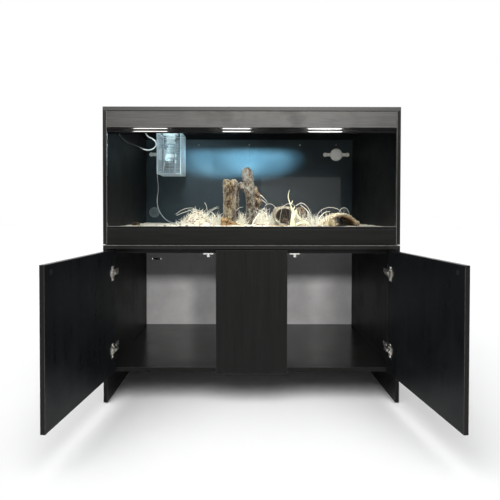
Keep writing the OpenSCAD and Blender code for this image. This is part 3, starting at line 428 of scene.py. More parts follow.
def piece(name, parts, finish, body="carcass", smooth=35, marks=None):
    """A mesh object from shapes of the front-face frame, each its points and faces, with its
    faces turned outwards, its finish, its body and its named values (marks) at the points."""
    points, faces = joined(parts)
    mesh = bpy.data.meshes.new(name)
    mesh.from_pydata(place(points), [], faces)
    for label, values in (marks or {}).items():
        mesh.attributes.new(label, "FLOAT", "POINT").data.foreach_set("value", np.ravel(values))
    mesh.materials.append(FINISH[finish])
    made = new_object(name, mesh)
    face_outwards(mesh)
    mesh.shade_smooth()
    if smooth < 180:
        mesh.set_sharp_from_angle(angle=math.radians(smooth))
    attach(made, body)
    return made


def face_outwards(mesh):
    """Recalculates the normals of closed shells so that they point out."""
    work = bmesh.new()
    work.from_mesh(mesh)
    bmesh.ops.recalc_face_normals(work, faces=work.faces)
    work.to_mesh(mesh)
    work.free()


# ---------------------------------------------------------------- shader helpers

def feed(inputs, values):
    """Feeds each input, by its name or number, from a socket or sets it to a value. A colour
    is opaque."""
    for key, value in values.items():
        if isinstance(value, bpy.types.NodeSocket):
            value.id_data.links.new(value, inputs[key])
        elif inputs[key].type == "RGBA":
            inputs[key].default_value = (*value, 1.0)
        else:
            inputs[key].default_value = value


def add(near, kind, inputs=None, **settings):
    """One shader node in the tree of near, which is a node or a socket, with its settings and
    its inputs."""
    made = near.id_data.nodes.new("ShaderNode" + kind)
    for key, value in settings.items():
        setattr(made, key, value)
    feed(made.inputs, inputs or {})
    return made


def maths(operation, a, b=0.0):
    """Result of one sum."""
    return add(a, "Math", {0: a, 1: b}, operation=operation).outputs[0]


def times(a, b):
    """Product of two values."""
    return maths("MULTIPLY", a, b)


def plus(a, b):
    """Sum of two values."""
    return maths("ADD", a, b)


def larger(a, b):
    """The larger of two values."""
    return maths("MAXIMUM", a, b)


def speckle(vector, scale, detail=3.0, roughness=0.55):
    """Noise from 0 to 1."""
    return add(vector, "TexNoise", {"Vector": vector, "Scale": scale, "Detail": detail,
                                    "Roughness": roughness}).outputs[0]


def cells(vector, scale, feature="F1"):
    """Pattern of random cells: the distance from their middles or edges, and their colours."""
    return add(vector, "TexVoronoi", {"Vector": vector, "Scale": scale}, feature=feature).outputs


def span(value, low, high, to_low=0.0, to_high=1.0):
    """Value brought from one range to another, smoothly and clamped."""
    return add(value, "MapRange", {"Value": value, "From Min": low, "From Max": high,
                                   "To Min": to_low, "To Max": to_high},
               interpolation_type="SMOOTHSTEP").outputs["Result"]


def blend(share, a, b):
    """Colour between a and b."""
    return add(share, "Mix", {0: share, 6: a, 7: b}, data_type="RGBA").outputs[2]


def stretched(vector, scale):
    """Coordinates times a scale on each axis, which draws a pattern out."""
    return add(vector, "Mapping", {"Vector": vector, "Scale": scale}, vector_type="POINT").outputs[0]


def axes(vector):
    """The three numbers of a vector."""
    return add(vector, "SeparateXYZ", {0: vector}).outputs


def mark(shader, name):
    """Value that the mesh holds under this name."""
    return add(shader, "Attribute", attribute_name=name).outputs["Fac"]


def bump(shader, height, distance, strength=1.0):
    """Feeds the shader's normal from a height."""
    made = add(height, "Bump", {"Height": height, "Distance": distance, "Strength": strength})
    feed(shader.inputs, {"Normal": made.outputs["Normal"]})


def new_group(name, outputs, **numbers):
    """Shader group that takes coordinates and the named numbers and puts out values, still
    empty. Returns it with the sockets inside it."""
    tree = bpy.data.node_groups.new(name, "ShaderNodeTree")
    tree.interface.new_socket("Vector", in_out="INPUT", socket_type="NodeSocketVector")
    for label, value in numbers.items():
        socket = tree.interface.new_socket(label, in_out="INPUT", socket_type="NodeSocketFloat")
        socket.default_value = value
    for label in outputs:
        tree.interface.new_socket(label, in_out="OUTPUT", socket_type="NodeSocketFloat")
    return tree, tree.nodes.new("NodeGroupInput").outputs, tree.nodes.new("NodeGroupOutput").inputs


def wood_grain_group():
    """Pressed ash grain: fine streaks, with short pores where a second noise is low."""
    tree, given, out = new_group("wood_grain", ("Tone", "Height"), Fine=260.0)
    vector, fine = given["Vector"], given["Fine"]
    streaks = speckle(vector, fine, 4.0, 0.6)
    broad = speckle(vector, times(fine, 0.18), 2.0)
    pores = span(speckle(vector, times(fine, 2.4), 1.0), 0.28, 0.42)
    feed(out, {"Tone": times(plus(streaks, times(broad, 0.7)), 0.6),
               "Height": times(pores, plus(streaks, 0.3))})
    return tree


def handling_group():
    """Traces of use: soft smears, and sparse specks of dust."""
    tree, given, out = new_group("handling", ("Smears", "Specks"), Smear=7.0, Dust=420.0)
    vector, dust = given["Vector"], given["Dust"]
    dots = span(cells(vector, dust)["Distance"], 0.10, 0.20, 1.0, 0.0)
    sparse = span(speckle(vector, times(dust, 0.21), 2.0), 0.62, 0.70)
    feed(out, {"Smears": span(speckle(vector, given["Smear"], 4.0, 0.62), 0.38, 0.68),
               "Specks": times(dots, sparse)})
    return tree


def moulded_group():
    """Skin of moulded plastic, paint or rubber: a fine grain and slow changes of gloss."""
    tree, given, out = new_group("moulded_skin", ("Height", "Gloss"), Grain=1500.0)
    vector, grain = given["Vector"], given["Grain"]
    feed(out, {"Height": speckle(vector, grain, 2.0),
               "Gloss": span(speckle(vector, times(grain, 0.03)), 0.3, 0.7)})
    return tree


def bark_group():
    """Cork bark: dark cracks between corky plates, a fine noise of pale dust, and lichen patches."""
    tree, given, out = new_group("cork_bark", ("Crack", "Dusty", "Patch", "Height"), Plates=150.0)
    vector, size = given["Vector"], given["Plates"]
    wander = add(vector, "TexNoise", {"Vector": vector, "Scale": 60.0}).outputs["Color"]
    bent = add(vector, "VectorMath", {0: wander, 1: (0.012, 0.012, 0.012), 2: vector},
               operation="MULTIPLY_ADD").outputs[0]
    plates = cells(bent, size, "DISTANCE_TO_EDGE")["Distance"]
    fine = speckle(vector, times(size, 4.0), 4.0, 0.7)
    feed(out, {"Crack": span(plates, 0.02, 0.16, 1.0, 0.0), "Dusty": span(fine, 0.42, 0.62),
               "Patch": span(speckle(vector, 38.0), 0.48, 0.62),
               "Height": plus(span(plates, 0.0, 0.25), times(fine, 0.8))})
    return tree


def grit_group():
    """Loose dry sand: grains as cells with a random shade, and coarser bits among them."""
    tree, given, out = new_group("sand_grit", ("Shade", "Bits", "Height"), Grains=700.0)
    vector, size = given["Vector"], given["Grains"]
    grains = cells(vector, size)
    shade = add(vector, "SeparateColor", {0: grains["Color"]}).outputs[0]
    bits = cells(vector, times(size, 0.28))["Distance"]
    feed(out, {"Shade": shade, "Bits": span(bits, 0.12, 0.22, 1.0, 0.0),
               "Height": maths("SUBTRACT", shade, times(grains["Distance"], 1.4))})
    return tree


GRAIN = wood_grain_group()
HANDLING = handling_group()
MOULDED = moulded_group()
BARK_SKIN = bark_group()
GRIT = grit_group()


def new_finish(name, **shader_values):
    """A finish with its shader's own sockets set, where underscores stand for spaces. Returns
    the shader and the object's coordinates."""
    FINISH[name] = bpy.data.materials.new(name)
    FINISH[name].use_nodes = True
    shader = FINISH[name].node_tree.nodes["Principled BSDF"]
    feed(shader.inputs, {key.replace("_", " "): value for key, value in shader_values.items()})
    return shader, add(shader, "TexCoord").outputs["Object"]


def use(group, vector, **numbers):
    """Outputs of a shared group at the given coordinates."""
    return add(vector, "Group", {"Vector": vector, **numbers}, node_tree=group).outputs


# ---------------------------------------------------------------- finishes

def board_finish(name, dark, light, stretch, rough=(0.40, 0.47), dust=0.05, sheen=0.25):
    """Wood-grain melamine: streaks drawn out along the board, a satin skin with smears, and a
    few specks of dust."""
    shader, coordinates = new_finish(name, Specular_IOR_Level=sheen)
    grain = use(GRAIN, stretched(coordinates, stretch))
    traces = use(HANDLING, coordinates)
    tone = span(grain["Tone"], 0.3, 0.75)
    surface_tone = blend(times(traces["Specks"], dust), blend(tone, dark, light), (0.5, 0.5, 0.48))
    gloss = plus(span(traces["Smears"], 0.0, 1.0, *rough), times(tone, 0.06))
    feed(shader.inputs, {"Base Color": surface_tone, "Roughness": gloss})
    bump(shader, grain["Height"], 0.00012, 0.6)


def edging_finish(name, face, arris, rough=0.24, sheen=0.25):
    """Edge band of a board: the board's black with arrises painted pale as highlights, where the mesh
    marks them, the highlights broken up by a noise."""
    shader, coordinates = new_finish(name, Roughness=rough, Specular_IOR_Level=sheen)
    broken = span(speckle(coordinates, 90.0), 0.3, 0.6, 0.55, 1.0)
    feed(shader.inputs, {"Base Color": blend(times(mark(shader, "arris"), broken), face, arris)})
    bump(shader, use(MOULDED, coordinates, Grain=900.0)["Height"], 0.00005, 0.4)


def hardboard_finish(name, dark, light, rough):
    """Painted hardboard: cloudy paint over a fine felt, with faint smears."""
    shader, coordinates = new_finish(name, Specular_IOR_Level=0.3)
    clouds = span(speckle(coordinates, 5.0, 5.0, 0.6), 0.3, 0.7)
    felt = speckle(coordinates, 900.0)
    smears = use(HANDLING, coordinates, Smear=4.0)["Smears"]
    feed(shader.inputs, {"Base Color": blend(times(felt, 0.3), blend(clouds, dark, light), dark),
                         "Roughness": span(smears, 0.0, 1.0, rough, rough + 0.14)})
    bump(shader, felt, 0.0001, 0.4)


def plastic_finish(name, colour, lighter, rough=0.4, grain=1500.0, relief=0.00006, uneven=0.12,
                   sheen=0.5):
    """Moulded plastic, rubber, paint or cable sheath: one colour with a slow drift, a fine
    skin and an uneven gloss."""
    shader, coordinates = new_finish(name, Specular_IOR_Level=sheen)
    skin = use(MOULDED, coordinates, Grain=grain)
    feed(shader.inputs, {"Base Color": blend(skin["Gloss"], colour, lighter),
                         "Roughness": span(skin["Gloss"], 0.0, 1.0, rough, rough + uneven)})
    bump(shader, skin["Height"], relief, 0.5)


def metal_finish(name, colour, dull, rough):
    """Plated or cast metal: slow clouds dull it, and a fine noise roughens it."""
    shader, coordinates = new_finish(name, Metallic=1.0)
    fine = speckle(coordinates, 800.0)
    clouds = span(speckle(coordinates, 70.0), 0.35, 0.7)
    feed(shader.inputs, {"Base Color": blend(clouds, colour, dull),
                         "Roughness": plus(times(fine, 0.16), rough)})
    bump(shader, fine, 0.00003, 0.5)


def gauze_finish(name, gap, wire, pitch):
    """Fly gauze: the wires are bright where the sine along X or the sine along Z is near one,
    the gaps between them dark."""
    shader, coordinates = new_finish(name, Roughness=0.6, Specular_IOR_Level=0.3)
    place_in = axes(coordinates)
    weave = larger(*(maths("SINE", times(place_in[k], 2 * math.pi / pitch)) for k in (0, 2)))
    feed(shader.inputs, {"Base Color": blend(span(weave, 0.2, 0.9), gap, wire)})
    bump(shader, weave, 0.0002, 0.6)


def glass_finish(name):
    """Float glass: clear, with a trace of wiping marks in its gloss."""
    shader, coordinates = new_finish(name, Transmission_Weight=1.0, IOR=1.45, Roughness=0.0,
                                     Base_Color=(0.965, 0.985, 0.98))
    smears = use(HANDLING, coordinates, Smear=11.0)["Smears"]
    feed(shader.inputs, {"Roughness": span(smears, 0.3, 1.0, 0.0, 0.025)})


def glazed_finish(name, colour, lighter, rough):
    """Glazed ceramic: a clear coat over a faintly uneven body."""
    shader, coordinates = new_finish(name, Coat_Weight=0.6, Coat_Roughness=0.05)
    clouds = span(speckle(coordinates, 60.0), 0.3, 0.7)
    feed(shader.inputs, {"Base Color": blend(clouds, colour, lighter),
                         "Roughness": span(clouds, 0.0, 1.0, rough, rough + 0.1)})
    bump(shader, clouds, 0.0001, 0.4)


def bulb_finish(name, bright, grey, dull):
    """Lamp bulb told apart by height: a grey threaded collar, whose threads are the sine of
    the height, a ring under it painted bright as a highlight, a duller neck, a rim painted bright as a
    highlight and a grey face."""
    shader, coordinates = new_finish(name, Roughness=0.16, Coat_Weight=0.4)
    z = axes(coordinates)[2]
    thread = maths("SINE", times(z, 2 * math.pi / BULB_THREAD))
    uneven = plus(times(thread, 0.22), speckle(coordinates, 140.0))
    rings = larger(*(times(span(z, low - 0.002, low), span(z, high, high + 0.002, 1.0, 0.0))
                     for low, high in BULB_HIGHLIGHT_RINGS))
    body = blend(span(uneven, 0.30, 0.72), dull, grey)
    feed(shader.inputs, {"Base Color": blend(rings, body, bright)})
    bump(shader, uneven, 0.0004, 0.5)


def sheath_finish(name, colour, lighter, dark, low, high):
    """Cable sheath: white to the right of the higher X, and to the left of the lower one dark
    as a painted shadow."""
    shader, coordinates = new_finish(name, Specular_IOR_Level=0.3)
    skin = use(MOULDED, coordinates, Grain=900.0)
    lit_sheath = blend(skin["Gloss"], colour, lighter)
    feed(shader.inputs, {"Base Color": blend(span(axes(coordinates)[0], low, high), dark, lit_sheath),
                         "Roughness": span(skin["Gloss"], 0.0, 1.0, 0.35, 0.47)})
    bump(shader, skin["Height"], 0.00006, 0.5)


def tube_light_finish(name):
    """Lit tube: a white glow that drifts a little with a noise."""
    shader, coordinates = new_finish(name, Roughness=0.3, Emission_Strength=3.0,
                                     Base_Color=(0.9, 0.93, 0.97))
    glow = span(speckle(coordinates, 4.0, 1.0), 0.2, 0.8)
    feed(shader.inputs, {"Emission Color": blend(glow, (0.80, 0.90, 1.0), (0.92, 0.97, 1.0))})


def sand_finish(name):
    """Dry pale sand: grains in cream, bone and tan, with a few dark bits."""
    shader, coordinates = new_finish(name, Specular_IOR_Level=0.2, Roughness=0.9)
    grit = use(GRIT, coordinates)
    grains = blend(grit["Shade"], (0.50, 0.44, 0.33), (0.88, 0.85, 0.76))
    broad = span(speckle(coordinates, 22.0, 4.0), 0.35, 0.7)
    shaded = blend(times(broad, 0.5), grains, (0.80, 0.73, 0.56))
    bits = blend(times(grit["Bits"], 0.55), shaded, (0.20, 0.14, 0.08))
    feed(shader.inputs, {"Base Color": bits})
    bump(shader, grit["Height"], 0.0009, 0.9)


def cork_finish(name, dark, middle, pale, patch, stretch=(1.0, 1.0, 0.8), cream=(0.34, 0.78),
                inner=(0.060, 0.022, 0.006), fuzz=0.18):
    """Cork bark: cracks dark, and low places darkened as painted shade; plates brown, paler where
    the mesh marks that they stand high, partly the cork's weathering and partly painted highlight;
    patches of another tone, the cut rims, where the mesh marks them, between two strengths of
    cream, and the inside of a hollow piece in a tone of its own, which on lumps is laid on as
    painted shade."""
    shader, coordinates = new_finish(name, Specular_IOR_Level=0.2, Roughness=0.92,
                                     Sheen_Weight=fuzz, Sheen_Roughness=0.35)
    skin = use(BARK_SKIN, stretched(coordinates, stretch))
    high, cut, hollow = (mark(shader, label) for label in ("high", "cut", "hollow"))
    # Pale tops where the mesh marks them high: weathering and painted highlight.
    weathering_and_highlight = plus(times(high, 0.7), times(skin["Dusty"], 0.45))
    surface_tone = blend(span(weathering_and_highlight, 0.42, 0.95), blend(skin["Patch"], middle, patch), pale)
    low, top = cream
    rim = blend(speckle(coordinates, 500.0), (low, 0.86 * low, 0.56 * low),
                (top, 0.95 * top, 0.74 * top))
    inside = blend(times(hollow, 0.90), blend(cut, surface_tone, rim), inner)
    # Dark cracks, and painted shade in the low places.
    cracks_and_shade = larger(times(skin["Crack"], 0.6), span(high, 0.10, 0.42, 0.9, 0.0))
    feed(shader.inputs, {"Base Color": blend(cracks_and_shade, inside, dark)})
    bump(shader, skin["Height"], 0.0016, 0.9)


def straw_finish(name, pale, dull):
    """Dry grass and twigs: a tone for each blade from the mesh, with fine stripes."""
    shader, coordinates = new_finish(name, Specular_IOR_Level=0.3, Roughness=0.7)
    stripes = speckle(coordinates, 700.0)
    share = plus(times(mark(shader, "shade"), 0.8), times(stripes, 0.3))
    feed(shader.inputs, {"Base Color": blend(span(share, 0.05, 0.72), dull, pale)})
    bump(shader, stripes, 0.0002, 0.5)


UPRIGHT, LEVEL = (1.0, 1.0, 0.03), (0.03, 1.0, 1.0)     # scales that draw the grain along Z or X
ALONG_Y = (1.0, 0.8, 1.0)
# The bulb's bright rings are painted highlights.
BULB_HIGHLIGHT_RINGS = ((1.0160, 1.0300), (1.0760, 1.0860))     # heights of the bulb's bright rings
BULB_THREAD = 0.0062                     # pitch of the thread of its collar
# The white lead is dark to the left of the first X as a painted shadow, and white to the right of the
# second.
SHEATH_SHADOW_END, SHEATH_LIT_START = -0.502, -0.486             # X where the white lead changes
GAUZE_PITCH = 0.0014


def make_finishes():
    """Every finish with its own tones, as linear red, green and blue."""
    board_finish("black_upright", (0.0038, 0.0040, 0.0037), (0.0100, 0.0102, 0.0096), UPRIGHT,
                 sheen=0.14)
    board_finish("black_level", (0.0038, 0.0040, 0.0037), (0.0095, 0.0097, 0.0091), LEVEL,
                 sheen=0.14)
    board_finish("glossy_floor", (0.0050, 0.0052, 0.0048), (0.0110, 0.0112, 0.0106), LEVEL,
                 (0.13, 0.22), sheen=0.9)
    # The fascia's light tone is painted sheen: a paler copy of the black board that stands in for the
    # reflection of the ceiling lights, beside the strips' real sheen.
    board_finish("fascia_board_painted_sheen", (0.004, 0.004, 0.0038), (0.060, 0.057, 0.050), LEVEL,
                 (0.40, 0.50), sheen=0.72)
    # The ceiling's board is a darker copy of the black board: painted shade.
    board_finish("matt_ceiling_painted_shade", (0.0008, 0.0009, 0.0008), (0.0026, 0.0027, 0.0026), LEVEL,
                 (0.80, 0.90), sheen=0.05)
    # The doors' boards are a blue-tinted copy of the black board: the tint is a painted reflection of the
    # room.
    board_finish("door_board", (0.0040, 0.0050, 0.0058), (0.0096, 0.0114, 0.0130), UPRIGHT,
                 (0.26, 0.42), 0.10, 0.18)
    # Edge bands: their pale arris tones are painted highlights, and the second is a lighter copy whose
    # paler face is painted light.
    edging_finish("edging", (0.005, 0.005, 0.0047), (0.20, 0.195, 0.185), sheen=0.14)
    edging_finish("highlit_edging", (0.012, 0.012, 0.0115), (0.30, 0.29, 0.275), sheen=0.2)
    # The next edging's lighter face is painted sheen, as on the fascia's board.
    edging_finish("fascia_edging_painted_sheen", (0.026, 0.026, 0.025), (0.20, 0.195, 0.185), 0.44, 0.6)
    hardboard_finish("vivarium_back", (0.017, 0.027, 0.033), (0.026, 0.039, 0.047), 0.5)
    hardboard_finish("cupboard_back", (0.56, 0.555, 0.57), (0.74, 0.735, 0.75), 0.5)
    plastic_finish("black_plastic", (0.004, 0.004, 0.004), (0.007, 0.007, 0.007), 0.08, 600.0,
                   0.000003, 0.03, 0.16)
    plastic_finish("rib_plastic", (0.004, 0.004, 0.004), (0.006, 0.006, 0.006), 0.03, 400.0,
                   0.000001, 0.015)
    # The lower runner's grey lip is a painted highlight on the black runner.
    plastic_finish("grey_bead_painted_highlight", (0.10, 0.10, 0.095), (0.16, 0.155, 0.15), 0.3)
    metal_finish("nickel", (0.80, 0.79, 0.76), (0.62, 0.60, 0.57), 0.18)
    metal_finish("zinc", (0.55, 0.54, 0.52), (0.40, 0.39, 0.37), 0.38)
    plastic_finish("latch_plastic", (0.72, 0.72, 0.69), (0.80, 0.80, 0.78), 0.35)
    plastic_finish("painted_steel", (0.008, 0.009, 0.010), (0.012, 0.013, 0.014), 0.35)
    plastic_finish("pad_rubber", (0.006, 0.006, 0.006), (0.010, 0.010, 0.010), 0.7, sheen=0.2)
    glass_finish("clear_glass")
    plastic_finish("vent_plastic", (0.78, 0.775, 0.75), (0.86, 0.855, 0.83), 0.5, 500.0)
    plastic_finish("vent_caps", (0.95, 0.94, 0.92), (0.99, 0.98, 0.96), 0.4, 500.0)
    plastic_finish("gauze_wire", (0.80, 0.795, 0.78), (0.90, 0.895, 0.88), 0.4, 900.0)
    plastic_finish("dark_vent", (0.11, 0.13, 0.14), (0.15, 0.17, 0.18), 0.8, 500.0)
    gauze_finish("dark_gauze", (0.030, 0.036, 0.040), (0.10, 0.12, 0.13), GAUZE_PITCH)
    plastic_finish("brush_bristle", (0.012, 0.012, 0.012), (0.03, 0.03, 0.03), 0.6)
    plastic_finish("hood_sheet", (0.60, 0.60, 0.60), (0.72, 0.72, 0.72), 0.3, 900.0)
    tube_light_finish("tube_light")
    # The white lead's dark left part is a painted shadow.
    sheath_finish("white_lead", (0.72, 0.72, 0.70), (0.84, 0.84, 0.82), (0.035, 0.035, 0.037),
                  SHEATH_SHADOW_END, SHEATH_LIT_START)
    plastic_finish("grey_lead", (0.42, 0.43, 0.44), (0.54, 0.55, 0.55), 0.35, 900.0)
    plastic_finish("probe_plastic", (0.02, 0.02, 0.022), (0.04, 0.04, 0.042), 0.3)
    plastic_finish("mesh_wire", (0.46, 0.49, 0.53), (0.60, 0.62, 0.65), 0.35)
    # The guard's rims are tinted cyan as painted light from the blue wash.
    plastic_finish("mesh_rim_painted_cyan", (0.46, 0.56, 0.60), (0.56, 0.66, 0.70), 0.3)
    plastic_finish("screw_head", (0.62, 0.60, 0.55), (0.74, 0.72, 0.68), 0.45)
    plastic_finish("hatch_rim", (0.17, 0.20, 0.22), (0.24, 0.27, 0.29), 0.35)
    glazed_finish("ceramic", (0.82, 0.86, 0.86), (0.90, 0.93, 0.93), 0.2)
    bulb_finish("bulb_glass", (0.94, 0.97, 0.97), (0.66, 0.72, 0.74), (0.10, 0.13, 0.14))
    sand_finish("pale_sand")
    # The last tone of a cork finish is the inside of a hollow piece; laid on lumps by their mark it is
    # painted shade, and rust_bark's nearly black one serves only so.
    cork_finish("cork", (0.010, 0.006, 0.003), (0.090, 0.056, 0.022), (0.28, 0.245, 0.17),
                (0.180, 0.110, 0.028), fuzz=0.32)
    cork_finish("grey_cork", (0.014, 0.009, 0.006), (0.095, 0.069, 0.042), (0.265, 0.255, 0.225),
                (0.135, 0.092, 0.046), fuzz=0.32)
    cork_finish("cork_lying", (0.014, 0.008, 0.004), (0.095, 0.060, 0.032), (0.27, 0.21, 0.145),
                (0.16, 0.095, 0.040), ALONG_Y, (0.20, 0.60), (0.040, 0.018, 0.008))
    cork_finish("bark_rind", (0.10, 0.062, 0.026), (0.42, 0.31, 0.145), (0.84, 0.76, 0.54),
                (0.56, 0.43, 0.19), ALONG_Y, (0.78, 0.98), (0.30, 0.105, 0.020))
    cork_finish("rust_bark", (0.022, 0.010, 0.003), (0.19, 0.085, 0.022), (0.42, 0.29, 0.14),
                (0.27, 0.15, 0.040), inner=(0.016, 0.007, 0.003))
    straw_finish("straw", (1.0, 0.98, 0.88), (0.50, 0.43, 0.26))
    straw_finish("pale_straw", (0.92, 0.90, 0.80), (0.52, 0.46, 0.33))
    straw_finish("twig", (0.74, 0.70, 0.50), (0.26, 0.20, 0.10))
    straw_finish("chips", (0.34, 0.22, 0.11), (0.09, 0.055, 0.03))


CAD_FINISH = {                           # the part's own nodes under each finish
    "black_upright": "cupboard_side_left cupboard_side_right centre_panel vivarium_side_left "
                     "vivarium_side_right",
    "black_level": "cupboard_top cupboard_rail vivarium_floor lower_fascia",
    "glossy_floor": "cupboard_floor",
    "fascia_board_painted_sheen": "upper_fascia",
    "matt_ceiling_painted_shade": "vivarium_top",
    "door_board": "door_left door_right",
    "vivarium_back": "vivarium_back",
    "cupboard_back": "cupboard_back",
    "black_plastic": "foot_glides top_runner bottom_runner ceiling_glands",
    "nickel": "hinge_cups_left hinge_cups_right hinge_arms_left hinge_arms_right hinge_screws "
              "latch_bodies latch_springs",
    "zinc": "centre_brackets cam_locks",
    "latch_plastic": "latch_plunger_left latch_plunger_right",
    "painted_steel": "latch_disc_left latch_disc_right",
    "pad_rubber": "vivarium_pads",
    "clear_glass": "glass_left glass_right",
    "vent_plastic": "upper_vent_left upper_vent_right light_caps",
    "dark_vent": "lower_vent_left lower_vent_right",
    "screw_head": "back_screws",
    "hood_sheet": "light_hood",
    "tube_light": "light_tube",
    "white_lead": "light_lead",
    "grey_lead": "probe_lead",
    "probe_plastic": "probe_tip",
    "mesh_wire": "lamp_guard guard_hatch",
    "ceramic": "lamp_rose lamp_holder",
    "bulb_glass": "lamp_bulb",
    "pale_sand": "sand_bed",
    "cork": "cork_tube cork_branch",
    "cork_lying": "cork_log",
    "bark_rind": "bark_arch",
}


def dress_nodes():
    """Gives every node of the part its finish."""
    for finish, names in CAD_FINISH.items():
        for name in names.split():
            for holder in NODES[name].material_slots:
                holder.material = FINISH[finish]


# ---------------------------------------------------------------- camera and leads

def make_camera():
    """Pinhole camera: the lens is the focal length in pixels times the sensor over the
    picture's width, and the shift is the principal point's distance from the middle."""
    data = bpy.data.cameras.new("camera")
    data.sensor_width = 36.0
    data.lens = FOCAL_PIXELS / PICTURE * data.sensor_width
    data.shift_x = 0.5 - CENTRE_PIXEL[0] / PICTURE
    data.shift_y = CENTRE_PIXEL[1] / PICTURE - 0.5
    camera = new_object("camera", data)
    camera.location = place(CAMERA_AT)
    camera.rotation_euler = Euler(CAMERA_TURN, "XYZ")
    bpy.context.scene.camera = camera


def make_leads():
    """The light's white lead in its bight and the probe's thin lead with its probe."""
    path = smooth_path([(x, y, CEILING - drop) for x, y, drop in LIGHT_ROUTE], 5)
    lead = piece("light_cable", [tube(path, LIGHT_LEAD / 2, 16)], "white_lead",
                 smooth=60)
    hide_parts("light_lead")
    tuple(place(path[0]))
    place(path).tolist()

    path = smooth_path([(-INNER + x, BACK - y, SAND + z) for x, y, z in PROBE_ROUTE], 5)
    lead = piece("probe_cable", [tube(path, PROBE_LEAD / 2, 14)], "grey_lead",
                 smooth=60)
    tip = make_probe(path[-1])
    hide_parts("probe_lead")
    tuple(place(path[0]))
    place(path).tolist()


def make_probe(start):
    """Moulded sensor: a rod of half the lead's width plus a little, with a waist after the
    first fifth and a tip rounded as a quarter circle over the last tenth."""
    straight, tip, waist = 22, 0.1, 0.2
    share = np.concatenate([np.linspace(0, 1 - tip, straight),
                            1 - tip + tip * np.sin(np.linspace(0.2, 1.5, 8))])
    radius = (np.where(share < waist, 0.0022, 0.0021)
              - 0.0003 * np.exp(-((share - waist) / 0.02) ** 2))
    rounded = ((share[straight:] - (1 - tip)) / tip) ** 2
    radius[straight:] *= np.sqrt(np.clip(1 - rounded, 0.02, 1))
    ahead = np.array(PROBE_HEADING) / math.hypot(*PROBE_HEADING)
    path = np.asarray(start) + share[:, None] * PROBE_LENGTH * ahead
    made = piece("temperature_probe", [tube(path, radius, 14)], "probe_plastic",
                 smooth=60)
    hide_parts("probe_tip")
    return made


# ---------------------------------------------------------------- edge bands of the boards

def band_profile(thick, arris_highlight):
    """U-shaped band round a board's edge: two short lips on the faces, two quarter-round
    arrises and the edge itself, with the inner line sunk into the board. Returns the points
    (across the thickness, outwards) and how strongly each is painted pale as a highlight: the
    first number for the arris at the start of the thickness, the second for the other."""
    lip, proud, radius, sunk, flat = 0.0018, 0.0002, 0.0008, 0.0003, 0.0006
    turn = np.linspace(0, math.pi / 2, 5)
    left = np.stack([radius - proud - radius * np.cos(turn), proud - radius + radius * np.sin(turn)], 1)
    right = np.stack([thick - left[::-1, 0], left[::-1, 1]], 1)
    points = np.vstack([
        [[-proud, -lip]], left, [[radius + flat, proud]], [[thick - radius - flat, proud]],
        right, [[thick + proud, -lip]],
        [[thick - sunk, -lip]], [[thick - sunk, -sunk]], [[sunk, -sunk]], [[sunk, -lip]]])
    first, second = arris_highlight
    arris = np.array([0.5 * first] + [first] * 5 + [0.0, 0.0] + [second] * 5 + [0.5 * second]
                     + [0.0] * 4)
    return points, arris


def band(name, corners, across, outward, arris_highlight, closed=False, body="carcass", door=None,
         thick=BOARD, finish="edging"):
    """Edge band along a line of corners, with an outward axis for all or for each. A door's
    band is turned open about its hinge pins, and the right one is mirrored."""
    profile, arris = band_profile(thick, arris_highlight)
    points, faces = profile_run(profile, corners, across, outward, closed)
    if door:
        points = turned(points, -OPEN_ANGLE, PIN)
    if door == "right":
        points = mirrored(points)
    return piece(name, [(points, faces)], finish, body, smooth=50,
                 marks={"arris": np.tile(arris, len(corners))})


def panel_corners(x0, x1):
    """Corners of a door or of the centre panel, from the lower left round to the upper left."""
    return [(x0, 0, DOOR_LOW), (x1, 0, DOOR_LOW), (x1, 0, DOOR_HIGH), (x0, 0, DOOR_HIGH)]


